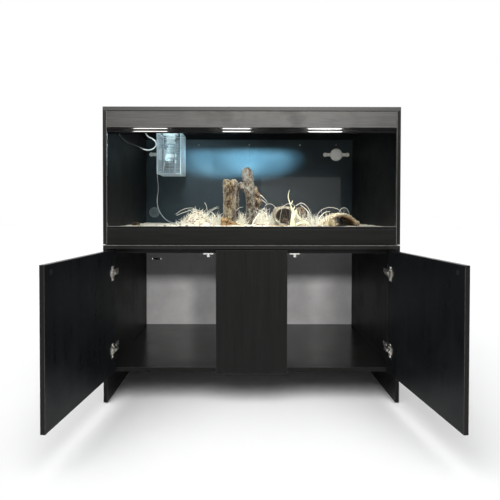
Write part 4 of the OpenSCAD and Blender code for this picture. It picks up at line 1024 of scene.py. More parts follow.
def make_bands():
    """Bands on the front edges of the boards and all round the doors and the centre panel."""
    up, front, back = (0.0, 0.0, 1.0), (0.0, -1.0, 0.0), (0.0, 1.0, 0.0)
    # Each band's pair of numbers says how strongly its two arrises are painted pale as highlights; the
    # vivarium's sides and the cupboard's top take the lighter edging, a lit copy.
    for label, sign in (("left", -1.0), ("right", 1.0)):
        for part, low, high, arris_highlight, finish in (
                ("cupboard", GLIDE_TOP, CUPBOARD_TOP - BOARD, 0.08, "edging"),
                ("vivarium", VIV_LOW, CEILING, 1.0, "highlit_edging")):
            band(f"{part}_side_band_{label}", [(sign * HALF_W, 0, low), (sign * HALF_W, 0, high)],
                 (-sign, 0.0, 0.0), front, (0.1, arris_highlight), finish=finish)
    round_corner = [(-1, 0, 0), (-1, -1, 0), (1, -1, 0), (1, 0, 0)]
    for name, z, arris_highlight, finish in (
            ("cupboard_top_band", CUPBOARD_TOP - BOARD, (0.0, 1.0), "highlit_edging"),
            ("vivarium_top_band", CEILING, (0.0, 0.2), "fascia_edging_painted_sheen")):
        corners = [(-HALF_W, DEPTH, z), (-HALF_W, 0, z), (HALF_W, 0, z), (HALF_W, DEPTH, z)]
        band(name, corners, up, round_corner, arris_highlight, finish=finish)
    for name, z, arris_highlight, thick in (("floor_band", FLOOR_LOW, (0.0, 0.12), BOARD),
                                 ("rail_band", RAIL_LOW, (0.1, 0.0), RAIL_THICK)):
        band(name, [(-INNER, SETBACK, z), (INNER, SETBACK, z)], up, front, arris_highlight, thick=thick)
    mitres = [(-1, 0, -1), (1, 0, -1), (1, 0, 1), (-1, 0, 1)]
    band("centre_panel_band", panel_corners(-CENTRE_HALF, CENTRE_HALF), back, mitres, (0.15, 0.0), True)
    for side in ("left", "right"):
        band(f"door_band_{side}", panel_corners(DOOR_EDGE, DOOR_EDGE + DOOR_WIDTH), back, mitres,
             (0.05, 0.25), True, f"door_{side}", side)
    for name, z, outward, arris_highlight, finish in (
            ("upper_fascia_band", FASCIA_LOW, (0, 0, -1), 0.45, "fascia_edging_painted_sheen"),
            ("lower_fascia_band", FASCIA_TOP, (0, 0, 1), 0.2, "edging")):
        band(name, [(-INNER, 0, z), (INNER, 0, z)], back, outward, (arris_highlight, 0.0), finish=finish)


def rod(radius, start, end, sides, outward=(0, 0, 1), drawn=1.0):
    """Straight bar whose section is a circle, or an ellipse drawn out along outward."""
    turn = full_turn(sides)
    circle = radius * np.stack([np.cos(turn), np.sin(turn)], 1)
    return profile_run(circle * [1.0, drawn], [start, end], (0, 1, 0), outward)


def make_joint_shadows():
    """Painted shadow in the joints: black strips with rounded fronts over the joints round the upper
    fascia, 1.2 mm across beside it and an ellipse of 2.6 mm height under the top board."""
    half, proud = 0.0006, 0.0002
    z = CEILING - 0.0012
    parts = [rod(half, (-INNER, proud, z), (INNER, proud, z), 16, drawn=2.2)]
    for x in (0.0004 - INNER, INNER - 0.0004):
        parts.append(rod(half, (x, proud, VIV_LOW), (x, proud, CEILING), 16, (1, 0, 0)))
    piece("fascia_joint_shadows", parts, "pad_rubber", smooth=60)


def make_runner_beads():
    """Ribs along the glass runners. The two of the upper one are shallow, nearly flat bands
    that lean back at the top, with a bowed face: the bow is the squared height over twice the
    arc's radius. The lip of the lower one is rolled, a circle, and grey as a painted highlight."""
    gap, proud, sunk, soft = 0.0005, 0.0009, 0.0006, 0.0004
    ends = np.array([[-INNER + gap, 0, 0], [INNER - gap, 0, 0]])
    height = np.linspace(-1, 1, 9) * RIB_HALF
    bow = -proud + (height - height[0]) * math.tan(RIB_LEAN) + height ** 2 / (2 * RIB_ARC)
    low, top = height[0] - soft, height[-1] + soft
    rib = np.vstack([[[sunk, low]], [[bow[0] + soft, low]], np.stack([bow, height], 1),
                     [[bow[-1] + soft, top]], [[sunk, top]]])
    for number, z in enumerate(RIBS, 1):
        shape = profile_run(rib, ends + [0, 0, z], (0, 1, 0), (0, 0, 1))
        piece(f"upper_runner_rib_{number}", [shape], "rib_plastic", smooth=30)
    lip = rod(0.0012, *(ends + [0, 0.0008, RUNNER_TOP]), 20)
    piece("lower_runner_lip", [lip], "grey_bead_painted_highlight", smooth=60)


# ---------------------------------------------------------------- lamp guard

def wires(origin, u, v, size_u, size_v):
    """Woven wire panel: wires along u and along v at the guard's pitch, each a four-sided
    tube that passes over and under its neighbours: its height is four fifths of the wire's
    radius, up or down by whether the sum of the two wire numbers is odd."""
    origin, u, v = (np.asarray(a, dtype=float) for a in (origin, u, v))
    normal = np.cross(u, v)
    parts = []
    count_u, count_v = (max(2, round(size / GUARD_PITCH)) for size in (size_u, size_v))
    for along, across, length, count, width, other, flip in (
            (u, v, size_u, count_v, size_v, count_u, 1.0),
            (v, u, size_v, count_u, size_u, count_v, -1.0)):
        steps = np.arange(other + 1)
        for k in range(count):
            shift = (k + 0.5) * width / count
            wave = flip * GUARD_WIRE * 0.8 * np.where((steps + k) % 2, 1.0, -1.0)
            line = (origin + across * shift + along * (steps / other * length)[:, None]
                    + normal * wave[:, None])
            parts.append(tube(line, GUARD_WIRE, 4))
    return parts


def frame_bars(x0, z0, x1, z1, width, y0, y1):
    """Four soft-edged bars round a rectangle in X and Z, from y0 to y1."""
    return [soft_box((a0, y0, b0), (a1, y1, b1)) for a0, b0, a1, b1 in (
        (x0, z0, x1, z0 + width), (x0, z1 - width, x1, z1),
        (x0, z0 + width, x0 + width, z1 - width), (x1 - width, z0 + width, x1, z1 - width))]


def hatch_rod(low, high, radius=0.003, sides=16):
    """Rod on the line of the hatch's pin, between two heights from the hatch's middle."""
    return tube([(HATCH_PIN[0], HATCH_PIN[1], HATCH_MIDDLE + z) for z in (low, high)], radius, sides)


def make_guard():
    """Woven wire box under the ceiling with folded rims and ears, the rim of its doorway, and
    two bright stay wires inside it."""
    (x0, y0, z0), (x1, y1, z1) = GUARD
    (hx0, hz0), (hx1, hz1) = HATCH
    width, depth, height = x1 - x0, y1 - y0, z1 - z0
    right, back, up = (1, 0, 0), (0, 1, 0), (0, 0, 1)
    skin, proud, sheet, rim = 0.0008, 0.0004, 0.0012, 0.0045
    parts = []
    for a0, a1, b0, b1 in ((x0, hx0, z0, z1), (hx1, x1, z0, z1), (hx0, hx1, z0, hz0),
                           (hx0, hx1, hz1, z1)):
        parts += wires((a0, y0 + skin, b0), right, up, a1 - a0, b1 - b0)
    parts += wires((x0, y1 - skin, z0), right, up, width, height)
    parts += wires((x0 + skin, y0, z0), back, up, depth, height)
    parts += wires((x1 - skin, y0, z0), back, up, depth, height)
    parts += wires((x0, y0, z0 + skin), right, back, width, depth)
    mesh = piece("guard_mesh", parts, "mesh_wire", smooth=180)

    parts = frame_bars(x0, z0, x1, z1, rim, y0 - proud, y0 + sheet)
    parts += frame_bars(x0, z0, x1, z1, rim, y1 - sheet, y1 + proud)
    for x in (x0, x1 - rim):
        for z in (z0, z1 - sheet):
            parts.append(soft_box((x, y0, z - 0.0003), (x + rim, y1, z + sheet)))
    for x in (x0 - proud, x1 + proud - sheet):
        for z in (z0, z1 - rim):
            parts.append(soft_box((x, y0, z), (x + sheet, y1, z + rim)))
        for y in (y0, y1 - rim):
            parts.append(soft_box((x, y, z0 + rim), (x + sheet, y + rim, z1 - rim)))
    parts += [hatch_rod(-0.0214, -0.0074), hatch_rod(0.0074, 0.0214),
              hatch_rod(-0.024, 0.024, 0.0014, 12)]
    for x in (x0 + 0.02, x1 - 0.02):
        for near, far in ((y0 - 0.010, y0), (y1, y1 + 0.010)):
            parts.append(soft_box((x - 0.008, near, z1 - 0.0016), (x + 0.008, far, z1)))
    rims = piece("guard_rims", parts, "mesh_rim_painted_cyan", smooth=40)

    gap = 0.005
    parts = frame_bars(hx0 - gap, hz0 - gap, hx1 + gap, hz1 + gap, 0.004, y0 - proud, y0 + sheet)
    doorway = piece("hatch_doorway", parts, "hatch_rim", smooth=40)
    for made in (mesh, rims, doorway):
        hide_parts("lamp_guard")
    parts = [tube(smooth_path([(x, 0.385, z) for x, z in line], 6), 0.0013, 10) for line in (
        [(-0.4131, 1.0084), (-0.4180, 0.9850), (-0.4254, 0.9400)],
        [(-0.3689, 1.0625), (-0.3689, 1.0000), (-0.3689, 0.9400)])]
    piece("guard_stays", parts, "ceramic", smooth=60)


def make_hatch():
    """Hinged hatch of the guard: its mesh, its rims, its half of the hinge, and a bent wire
    as its handle."""
    (x0, z0), (x1, z1) = HATCH
    front = GUARD[0][1]
    y = front - 0.0018
    parts = wires((x0, y, z0), (1, 0, 0), (0, 0, 1), x1 - x0, z1 - z0)
    mesh = piece("hatch_mesh", parts, "mesh_wire", "guard_hatch", smooth=180)
    parts = frame_bars(x0, z0, x1, z1, 0.0042, y - 0.0009, y + 0.0007)
    parts.append(hatch_rod(-0.007, 0.007))
    parts.append(soft_box((x1 - 0.003, front - 0.0042, HATCH_MIDDLE - 0.007),
                          (HATCH_PIN[0], front - 0.0028, HATCH_MIDDLE + 0.007)))
    handle = [(x0 + 0.002, y - out, HATCH_MIDDLE + up) for out, up in (
        (0, -0.010), (0.006, -0.008), (0.007, 0), (0.006, 0.008), (0, 0.010))]
    parts.append(tube(smooth_path(handle, 5), 0.0011, 10))
    rims = piece("hatch_rims", parts, "hatch_rim", "guard_hatch", smooth=40)
    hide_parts("guard_hatch")
    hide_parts("guard_hatch")


# ---------------------------------------------------------------- landscape

def natural(name, parts, finish, **marks):
    """A piece of the landscape, smooth all over, with its named values at the points."""
    return piece(name, parts, finish, smooth=180, marks=marks)


def sand_level(x, y):
    """Height of the sand over its level: each heap is half its height times one plus the
    cosine of its share of the reach, and two noises make it uneven."""
    rise = np.zeros(np.shape(x))
    for cx, cy, reach, height in MOUNDS:
        away = np.clip(np.hypot(x - cx, y - cy) / reach, 0, 1)
        rise = rise + height * (1 + np.cos(math.pi * away)) / 2
    flat = np.stack([x, y, np.zeros(np.shape(x))], axis=-1)
    rough = 0.0016 * noise(flat, 0.035, 3) + 0.0009 * noise(flat, 0.009, 4)
    steep = 0.0035 * noise(flat, 0.012, 5) * np.clip(rise / 0.02, 0, 1)
    return rise + np.maximum(rough, -0.001) + steep


def make_sand():
    """Sand bed: a grid of heights over the vivarium floor, with walls down its four sides and
    a flat underside."""
    columns, rows, gap = 260, 132, 0.0003
    gx, gy = np.meshgrid(np.linspace(-INNER + gap, INNER - gap, columns),
                         np.linspace(BOARD + gap, BACK - gap, rows))
    top = np.stack([gx, gy, SAND + sand_level(gx, gy)], axis=-1).reshape(-1, 3)
    number = np.arange(len(top)).reshape(rows, columns)
    edge = np.concatenate([number[0, :-1], number[:-1, -1], number[-1, :0:-1], number[:0:-1, 0]])
    skirt = top[edge]
    skirt[:, 2] = SAND_FLOOR
    low = len(top) + np.arange(len(edge))
    walls = np.stack([edge, low, np.roll(low, -1), np.roll(edge, -1)], axis=-1).tolist()
    faces = sheet_faces(rows, columns) + walls + [low[::-1].tolist()]
    made = piece("sand_surface", [(np.vstack([top, skirt]), faces)], "pale_sand", smooth=70)
    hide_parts("sand_bed")


def along_line(counts, *values):
    """Values along a section's closed line: one value or one array for each of its stretches,
    of which counts gives the numbers of points."""
    return np.concatenate([np.broadcast_to(value, (count,)) for value, count in zip(values, counts)])


def cork_relief(points, seed, stretch):
    """How far cork stands out at each point: broad lumps, knobs, a fine noise, and plates
    between deep cracks, which are one less 2.2 times the size of a noise."""
    lumps = noise(points, np.array(stretch) * 0.030, seed)
    knobs = np.clip(noise(points, 0.013, seed + 5), 0, 1)
    plates = 1 - 2.2 * np.abs(noise(points, np.array(stretch) * 0.0085, seed + 1))
    fine = layered(points, 0.0045, seed + 2, 2)
    return 0.0016 * lumps + 0.0026 * knobs + 0.0013 * np.clip(plates, -1, 1) + 0.0011 * fine - 0.0008


def height_mark(push):
    """How high each point stands, from 0 for the deepest twentieth to 1 for the highest."""
    low, top = np.percentile(push, [5, 95])
    return np.clip((push - low) / (top - low), 0, 1).ravel()


def hollow_cork(radius, length, seed, flare, ragged):
    """Hollow cork round the Z axis: a closed line up the outside, over the rim, down the
    inside and back, turned round the axis; the foot flares and the rim is ragged. Returns its
    points, its faces and its marks."""
    turns, up, over = 120, 70, 6
    share = np.linspace(0, 1, up)
    rim = np.linspace(0, 1, over + 2)[1:-1]
    inner, counts = radius - BARK, (up, over, up, over)
    r = along_line(counts, radius + flare * np.exp(-share * 7), radius - BARK * rim, inner,
                   inner + (BARK + flare) * rim)
    z = along_line(counts, share, 1.0, share[::-1], 0.0) * length
    weight = along_line(counts, 1.0, 0.5, 0.8, 0.3)
    cut = along_line(counts, 0.0, 1.0, 0.0, 1.0)
    cut[[up - 1, 2 * up + over - 1]] = 0.5
    hollow = along_line(counts, 0.0, 0.0, 1.0, 0.0)
    facing = along_line(counts, 1.0, 1.0, -1.0, -1.0)
    turn = full_turn(turns)
    outward = np.stack([np.cos(turn), np.sin(turn), 0 * turn], 1)
    lobes = 1 + 0.05 * np.cos(3 * turn + seed) + 0.03 * np.cos(5 * turn + 2 * seed)
    points = (r[:, None] * lobes[None, :])[..., None] * outward[None]
    points[..., 2] = z[:, None]
    points[..., 2] += (ragged * noise(outward, 0.6, seed + 9))[None, :] * (z / length)[:, None] ** 3
    push = cork_relief(points, seed, (1, 1, 1.9)) * weight[:, None]
    points += (push * facing[:, None])[..., None] * outward[None]
    marks = {"cut": np.repeat(cut, turns), "hollow": np.repeat(hollow, turns),
             "high": height_mark(push)}
    return points.reshape(-1, 3), ring_faces(len(r), turns, True), marks


def make_cork_tube():
    """Upright hollow cork: below a share of 0.85 of its height it narrows towards its left
    side, and at the foot it spreads again to the left by a falling exponential."""
    points, faces, marks = hollow_cork(TUBE_R - RELIEF, TUBE_H, 11, 0.004, 0.011)
    share = np.clip(points[:, 2] / TUBE_H, 0, 1)
    low = np.clip((0.85 - share) / 0.25, 0, 1)
    narrow = 0.0042 * low * low * (3 - 2 * low)
    spread = 0.0045 * np.exp(-share * 9) * np.clip(-points[:, 0] / TUBE_R, 0, 1)
    points[:, 0] = points[:, 0] * (1 - narrow / 0.028) - narrow * 0.9 - spread
    points += [*TUBE_AT, SAND - 0.001]
    made = natural("cork_tube_bark", [(points, faces)], "cork", **marks)
    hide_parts("cork_tube")


def rough_limb(path, radius, seed, sides):
    """Solid limb along a path: a tube whose radius stands out by the cork's relief. Returns
    its points, its faces and how high each point stands."""
    radius = np.asarray(radius)[:, None]
    spokes = path_spokes(path, sides)
    points = path[:, None, :] + radius[..., None] * spokes
    push = 1.5 * cork_relief(points, seed, (1, 1, 1.9)) * np.clip(radius / 0.01, 0, 1)
    points = points + push[..., None] * spokes
    return points.reshape(-1, 3), capped_faces(len(path), sides), height_mark(push)


def rounded_ends(share, foot, head):
    """Factor on a radius: a quarter circle over the first and last share of the length."""
    start = np.clip(share / foot, 0.0001, 1) if foot else np.ones_like(share)
    end = np.clip((1 - share) / head, 0.0001, 1) if head else np.ones_like(share)
    return np.sqrt(1 - (1 - start) ** 2) * np.sqrt(1 - (1 - end) ** 2)


def solid_bark(name, finish, limbs, hollow=0.0):
    """A piece of bark from limbs or lumps, each its points, its faces and its heights, darkened by the
    given share as painted shade.
    """
    points = [limb[0] for limb in limbs]
    none = np.zeros(sum(map(len, points)))
    return natural(name, [limb[:2] for limb in limbs], finish, cut=none, hollow=none + hollow,
                   high=np.concatenate([limb[2] for limb in limbs]))


def make_branch():
    """Branch that leans above its knee, with a spread foot, and an arm on its left that turns
    down into a thin leg beside the tube."""
    x, y = BRANCH_AT
    height = np.linspace(0, BRANCH_H, 110)
    share = height / height[-1]
    lean = math.tan(BRANCH_LEAN) * np.clip(height - BRANCH_KNEE, 0, None)
    path = np.stack([x - lean + 0.0030 * np.sin(share * 9), y + 0.004 * np.sin(share * 7),
                     SAND - 0.001 + height], 1)
    radius = (0.0245 + 0.004 * np.exp(-share * 14) + 0.0030 * np.exp(-((share - 0.62) / 0.10) ** 2)
              - 0.0020 * np.exp(-((share - 0.42) / 0.05) ** 2))
    arm = smooth_path([(x + dx, y + dy, SAND + dz) for dx, dy, dz in BRANCH_ARM], 12)
    along = np.linspace(0, 1, len(arm))
    thick = 0.0185 - 0.0105 * np.clip((along - 0.36) / 0.18, 0, 1)
    made = solid_bark("cork_branch_bark", "grey_cork", [
        rough_limb(path, radius * rounded_ends(share, 0, 0.085), 31, 96),
        rough_limb(arm, thick * rounded_ends(along, 0.08, 0), 51, 48)])
    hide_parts("cork_branch")


def ragged_lump(middle, reach, seed):
    """Torn lump: a ball drawn out to its three reaches, whose radius changes by three tenths
    of a layered noise, the noise raised where it is cracked; flat where it meets the sand."""
    rings, sides, tear, pole = 44, 72, 0.30, 0.02
    angle = np.linspace(pole, math.pi - pole, rings)[:, None]
    turn = full_turn(sides)[None, :]
    ball = np.stack([np.sin(angle) * np.cos(turn), np.sin(angle) * np.sin(turn),
                     np.cos(angle) + 0 * turn], axis=-1)
    grown = ball * np.asarray(reach)
    rough = layered(grown, 0.016, seed, 4) + 0.8 * (0.5 - np.abs(noise(grown, 0.009, seed + 7)))
    points = (grown * (1 + tear * rough)[..., None] + np.asarray(middle)).reshape(-1, 3)
    points[:, 2] = np.maximum(points[:, 2], SAND - 0.004)
    return points, capped_faces(rings, sides), height_mark(rough)


def make_lumps():
    """Torn bark and clods of litter: the broken knot on the branch's right, the fill of the hollow
    log and of the arch, and pieces lying about. The log's fill is darkened as painted shade, and
    the lump at the back of the arch is a near-black stand-in for the shade inside it."""
    for number, (name, finish, hollow, (x, y), lumps) in enumerate(LUMPS):
        solid_bark(name, finish, [
            ragged_lump((x + dx, y + dy, SAND + height), reach, 100 + 10 * number + k)
            for k, ((dx, dy, height), reach) in enumerate(lumps)], hollow)


def make_log():
    """Hollow cork lying with its open end to the front."""
    lower = LOG_R - RELIEF
    points, faces, marks = hollow_cork(lower, LOG_L, 23, 0.0, 0.012)
    x, y, z = points.T
    lying = np.stack([x, LOG_L - z, np.maximum(y, -lower)], axis=-1)
    lying += [*LOG_AT, SAND + LOG_R - 0.0025]
    made = natural("cork_log_bark", [(lying, faces)], "cork_lying", **marks)
    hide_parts("cork_log")


def make_arch():
    """Bark arch: a band between two arcs, along Y, with a pale cut rim at both ends; its
    height swells and its edge wanders with a noise."""
    columns, rows, steps = 96, 60, 3
    radius, wall = ARCH_R - 0.005, BARK + 0.002
    drop = radius - (ARCH_H - 0.007)
    reach = math.acos(drop / radius)
    turn = np.linspace(-reach, reach, columns)
    depth, counts = np.linspace(0, 1, steps + 2)[1:-1], (columns, steps, columns, steps)
    loop_turn = along_line(counts, turn, reach, turn[::-1], -reach)
    loop_r = along_line(counts, radius, radius - wall * depth, radius - wall,
                        radius - wall + wall * depth)
    outside = along_line(counts, 1.0, 0.0, 0.0, 0.0)
    hollow = along_line(counts, 0.0, 0.0, 1.0, 0.0)
    share = np.linspace(0, 1, rows)
    r = loop_r[None, :] + 0.002 * np.sin(share * 6)[:, None] * outside[None, :]
    points = np.stack([r * np.sin(loop_turn)[None, :], share[:, None] * ARCH_L + 0 * r,
                       r * np.cos(loop_turn)[None, :] - drop], axis=-1)
    wander = 0.006 * noise(np.stack([loop_turn, 0 * loop_turn, 0 * loop_turn], 1), 0.35, 71)
    points[..., 1] += wander[None, :] * (1 - share)[:, None] ** 2
    push = cork_relief(points, 61, (1, 2.4, 1)) * (0.3 + outside)[None, :]
    direction = np.stack([np.sin(loop_turn), 0 * loop_turn, np.cos(loop_turn)], 1)
    points += (push * np.where(outside, 1.2, -0.4)[None, :])[..., None] * direction[None]
    points[..., 2] = np.maximum(points[..., 2], 0.0)
    cut = np.clip(1 - np.minimum(share, 1 - share) / 0.02, 0, 1)

    total = len(loop_turn)
    faces = ring_faces(rows, total)
    first, right_end, left_end = np.arange(columns - 1), columns - 1, 2 * columns + steps - 1
    opposite = left_end - first
    for base in (0, (rows - 1) * total):
        faces += (np.stack([first + 1, first, opposite, opposite - 1], 1) + base).tolist()
        faces.append(list(range(base + right_end, base + columns + steps + 1)))
        faces.append([*range(base + left_end, base + total), base])
    points = points.reshape(-1, 3) + [ARCH_AT[0] - 0.010, ARCH_AT[1], SAND - 0.0005]
    made = natural("bark_arch_rind", [(points, faces)], "bark_rind", cut=np.repeat(cut, total),
                   hollow=np.tile(hollow, rows), high=height_mark(push))
    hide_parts("bark_arch")


def over_sand(spots, base):
    """Height of the sand's surface at each place, plus base."""
    return SAND + sand_level(spots[..., 0], spots[..., 1]) + base


def copies(faces, points_each, count):
    """Faces of many shapes alike, whose points follow each other."""
    shift = (np.arange(count) * points_each)[:, None, None]
    return (np.array(faces)[None] + shift).reshape(-1, len(faces[0])).tolist()


def blades(base, heading, lean, curl, length, radius, sections=7):
    """Thin dry blades: each centre line starts at its base and sums steps whose angle from
    upright is the lean plus the curl times the share of the length; three sides, drawn in to
    the tip. The line never goes below the sand."""
    share = np.linspace(0, 1, sections)
    angle = lean[:, None] + curl[:, None] * share[None, :]
    step = np.stack([np.sin(angle) * np.cos(heading)[:, None], np.sin(angle) * np.sin(heading)[:, None],
                     np.cos(angle)], axis=-1) * (length / (sections - 1))[:, None, None]
    line = base[:, None, :] + np.cumsum(step, axis=1) - step[:, :1]
    floor = over_sand(line, radius[:, None])
    line[:, 1:, 2] = np.maximum(line[:, 1:, 2], floor[:, 1:])
    line[..., 0] = np.clip(line[..., 0], -INNER + 0.004, INNER - 0.004)
    line[..., 1] = np.clip(line[..., 1], 0.020, BACK - 0.006)
    side = np.stack([-np.sin(heading), np.cos(heading), 0 * heading], axis=-1)
    along = np.gradient(line, axis=1)
    along /= np.linalg.norm(along, axis=-1, keepdims=True) + 1e-12
    other = np.cross(along, side[:, None, :])
    turn = np.array([0.5, 2.6, 4.7])[None, None, :, None]
    thick = radius[:, None] * (1 - 0.8 * share ** 2)[None, :]
    points = (line[:, :, None, :] + thick[:, :, None, None]
              * (np.cos(turn) * side[:, None, None, :] + np.sin(turn) * other[:, :, None, :]))
    ends = [[2, 1, 0], [3 * sections - 3, 3 * sections - 2, 3 * sections - 1]]
    each, count = 3 * sections, len(base)
    faces = copies(ring_faces(sections, 3), each, count)
    faces += copies(ends[:1], each, count) + copies(ends[1:], each, count)
    return points.reshape(-1, 3), faces


def scatter(clumps, seed):
    """Random places in round clumps: each row is X, Y, radius and number, and may go on with a
    height and a size. Returns X and Y, a height that falls to nothing at a clump's rim, and
    the size."""
    rng = np.random.default_rng(seed)
    spots = []
    for x, y, radius, number, *more in clumps:
        height, size = (list(more) + [0.0, 1.0][len(more):])
        away = np.sqrt(rng.random(number))
        around = rng.random(number) * 2 * math.pi
        rise = height * rng.random(number) * (1 - away ** 2)
        spots.append(np.stack([x + radius * away * np.cos(around), y + radius * away * np.sin(around),
                               rise, np.full(number, size)], 1))
    return np.vstack(spots)


def make_grass():
    """Dry grass heaped round the corks and over the heaps of sand."""
    spots = scatter(GRASS_CLUMPS, 5)
    rng = np.random.default_rng(6)
    count = len(spots)
    base = np.column_stack([spots[:, :2], over_sand(spots, -0.001) + spots[:, 2]])
    lean = rng.uniform(0.55, 2.1, count)
    shape = blades(
        base, rng.random(count) * 2 * math.pi, lean, rng.uniform(-2.4, 2.4, count),
        rng.uniform(0.016, 0.054, count) * spots[:, 3], rng.uniform(0.0005, 0.0015, count))
    shade = np.repeat(rng.random(count) ** 0.8, len(shape[0]) // count)
    natural("dry_grass", [shape], "straw", shade=shade)


def over_sand_path(line):
    """Smooth path through points whose height is taken from the sand's level."""
    return smooth_path([(x, y, SAND + z) for x, y, z in line], 8)


def make_stalks():
    """Single long stalks and sticks that stand out of the grass: a smooth path through a few
    points, drawn in to both ends."""
    parts, shades = [], []
    for number, (radius, *line) in enumerate(STALKS):
        path = over_sand_path(line)
        share = np.linspace(0, 1, len(path))
        parts.append(tube(path, radius * (1 - 0.55 * share ** 2) * rounded_ends(share, 0.02, 0.03), 10))
        shades.append(np.full(len(parts[-1][0]), 0.45 + 0.5 * (number * 0.37 % 1)))
    natural("dry_stalks", parts, "pale_straw", shade=np.concatenate(shades))


def make_twigs():
    """Pale twig and root wood between the log and the arch: tubes along listed lines that
    thin from foot to tip and swell and shrink by a quarter with a noise."""
    sides, parts, shades = 18, [], []
    for number, (thick, thin, *line) in enumerate(ROOTS, 1):
        path = over_sand_path(line)
        share = np.linspace(0, 1, len(path))
        radius = (thick + (thin - thick) * share ** 0.8) * rounded_ends(share, 0, 0.06)
        centre, spokes = path[:, None, :], path_spokes(path, sides)
        swell = 1 + 0.25 * noise(centre + radius[:, None, None] * spokes, 0.006, 60 + number)
        points = centre + (radius[:, None] * swell)[..., None] * spokes
        parts.append((points.reshape(-1, 3), capped_faces(len(path), sides)))
        shades.append(np.full(len(path) * sides, 0.4 + 0.12 * number))
    natural("pale_root", parts, "twig", shade=np.concatenate(shades))


def make_chips():
    """Bark chips and small stones: squashed eight-cornered lumps with random corners, each
    turned about its upright line."""
    spots = scatter(CHIP_CLUMPS, 15)[:, :2]
    rng = np.random.default_rng(16)
    count = len(spots)
    size = rng.uniform(0.0018, 0.0062, count)
    corners = np.array(list(np.ndindex(2, 2, 2))) * 2.0 - 1
    lumps = corners[None] * rng.uniform(0.45, 1.0, (count, 8, 3)) * size[:, None, None] * [1, 0.7, 0.45]
    spin = rng.random(count) * 2 * math.pi
    c, s = np.cos(spin)[:, None], np.sin(spin)[:, None]
    spots[:, 0] = np.clip(spots[:, 0], -INNER + 0.008, INNER - 0.008)
    spots[:, 1] = np.clip(spots[:, 1], 0.024, BACK - 0.010)
    points = np.stack([lumps[..., 0] * c - lumps[..., 1] * s + spots[:, :1],
                       lumps[..., 0] * s + lumps[..., 1] * c + spots[:, 1:],
                       lumps[..., 2] + over_sand(spots, 0.3 * size)[:, None]], axis=-1)
    cube = [[0, 1, 3, 2], [4, 6, 7, 5], [0, 4, 5, 1], [2, 3, 7, 6], [0, 2, 6, 4], [1, 5, 7, 3]]
    piece("bark_chips", [(points.reshape(-1, 3), copies(cube, 8, count))], "chips",
          smooth=25, marks={"shade": np.repeat(rng.random(count), 8)})


# ---------------------------------------------------------------- screws and vents

def round_plate(face, back, centre, rings, turns):
    """Closed round plate: rings of face points, then any points of the back, and a centre
    point, with a fan of triangles to the centre and one flat face over the last ring."""
    points = np.vstack([face.reshape(-1, 3), *back, [centre]])
    last = len(points) - 1
    fan = [[last, (k + 1) % turns, k] for k in range(turns)]
    return points, ring_faces(rings, turns) + fan + [list(range(last - turns, last))]


def screw_head(radius=0.0042, height=0.0016):
    """Domed head with a cross recess, on Z: height times one less the squared share of the
    radius, less a cross-shaped pit whose depth fades with the distance from its arms."""
    rings, turns = 14, 40
    share = np.linspace(0.0, 1.0, rings + 1)[1:]
    r, t = np.meshgrid(share * radius, full_turn(turns), indexing="ij")
    x, y = r * np.cos(t), r * np.sin(t)
    arm = np.minimum(np.abs(x), np.abs(y)) / (0.16 * radius)
    reach = np.maximum(np.abs(x), np.abs(y)) / (0.55 * radius)
    pit = np.clip(1.4 - arm, 0, 1) * np.clip((1.15 - reach) / 0.15, 0, 1)
    z = height * (1 - (r / radius) ** 2 * 0.6) - pit * height * 0.8
    z[-1] = 0
    return round_plate(np.stack([x, y, z], axis=-1), [], [0, 0, height * 0.2], rings, turns)


def make_screws():
    """Screw heads on the back panel and on the hinge plates."""
    head, faces = screw_head()
    facing_front = np.stack([head[:, 0], -head[:, 2], head[:, 1]], axis=-1)
    parts = [(facing_front + [x, BACK, CEILING - 0.027], faces) for x in SCREWS_X]
    made = piece("back_screw_heads", parts, "nickel", smooth=40)
    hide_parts("back_screws")

    parts = []
    for sign in (-1, 1):
        facing_inward = np.stack([-sign * head[:, 2], head[:, 0], head[:, 1]], axis=-1)
        for z in HINGE_HEIGHTS:
            for dz, reach in ((-0.017, 0.0035), (0.017, 0.0035), (0.0, 0.0135)):
                spot = [sign * (INNER - reach), SETBACK + 0.034, z + dz]
                parts.append((facing_inward + spot, faces))
    made = piece("hinge_screw_heads", parts, "nickel", smooth=40)
    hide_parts("hinge_screws")


def disc(x, z, radius, y, thick, dome=0.0):
    """Round plate facing the front: a flat back, and a face that stands proud by the dome times
    one less the squared share of the radius."""
    rings, turns = 4, 48
    turn = full_turn(turns)
    r, t = np.meshgrid(np.linspace(0.0, 1.0, rings + 1)[1:] * radius, turn, indexing="ij")
    face = np.stack([x + r * np.cos(t), y - thick - dome * (1 - (r / radius) ** 2), z + r * np.sin(t)],
                    axis=-1)
    back = np.stack([x + radius * np.cos(turn), y + 0 * turn, z + radius * np.sin(turn)], axis=-1)
    return round_plate(face, [back], [x, y - thick - dome, z], rings + 1, turns)


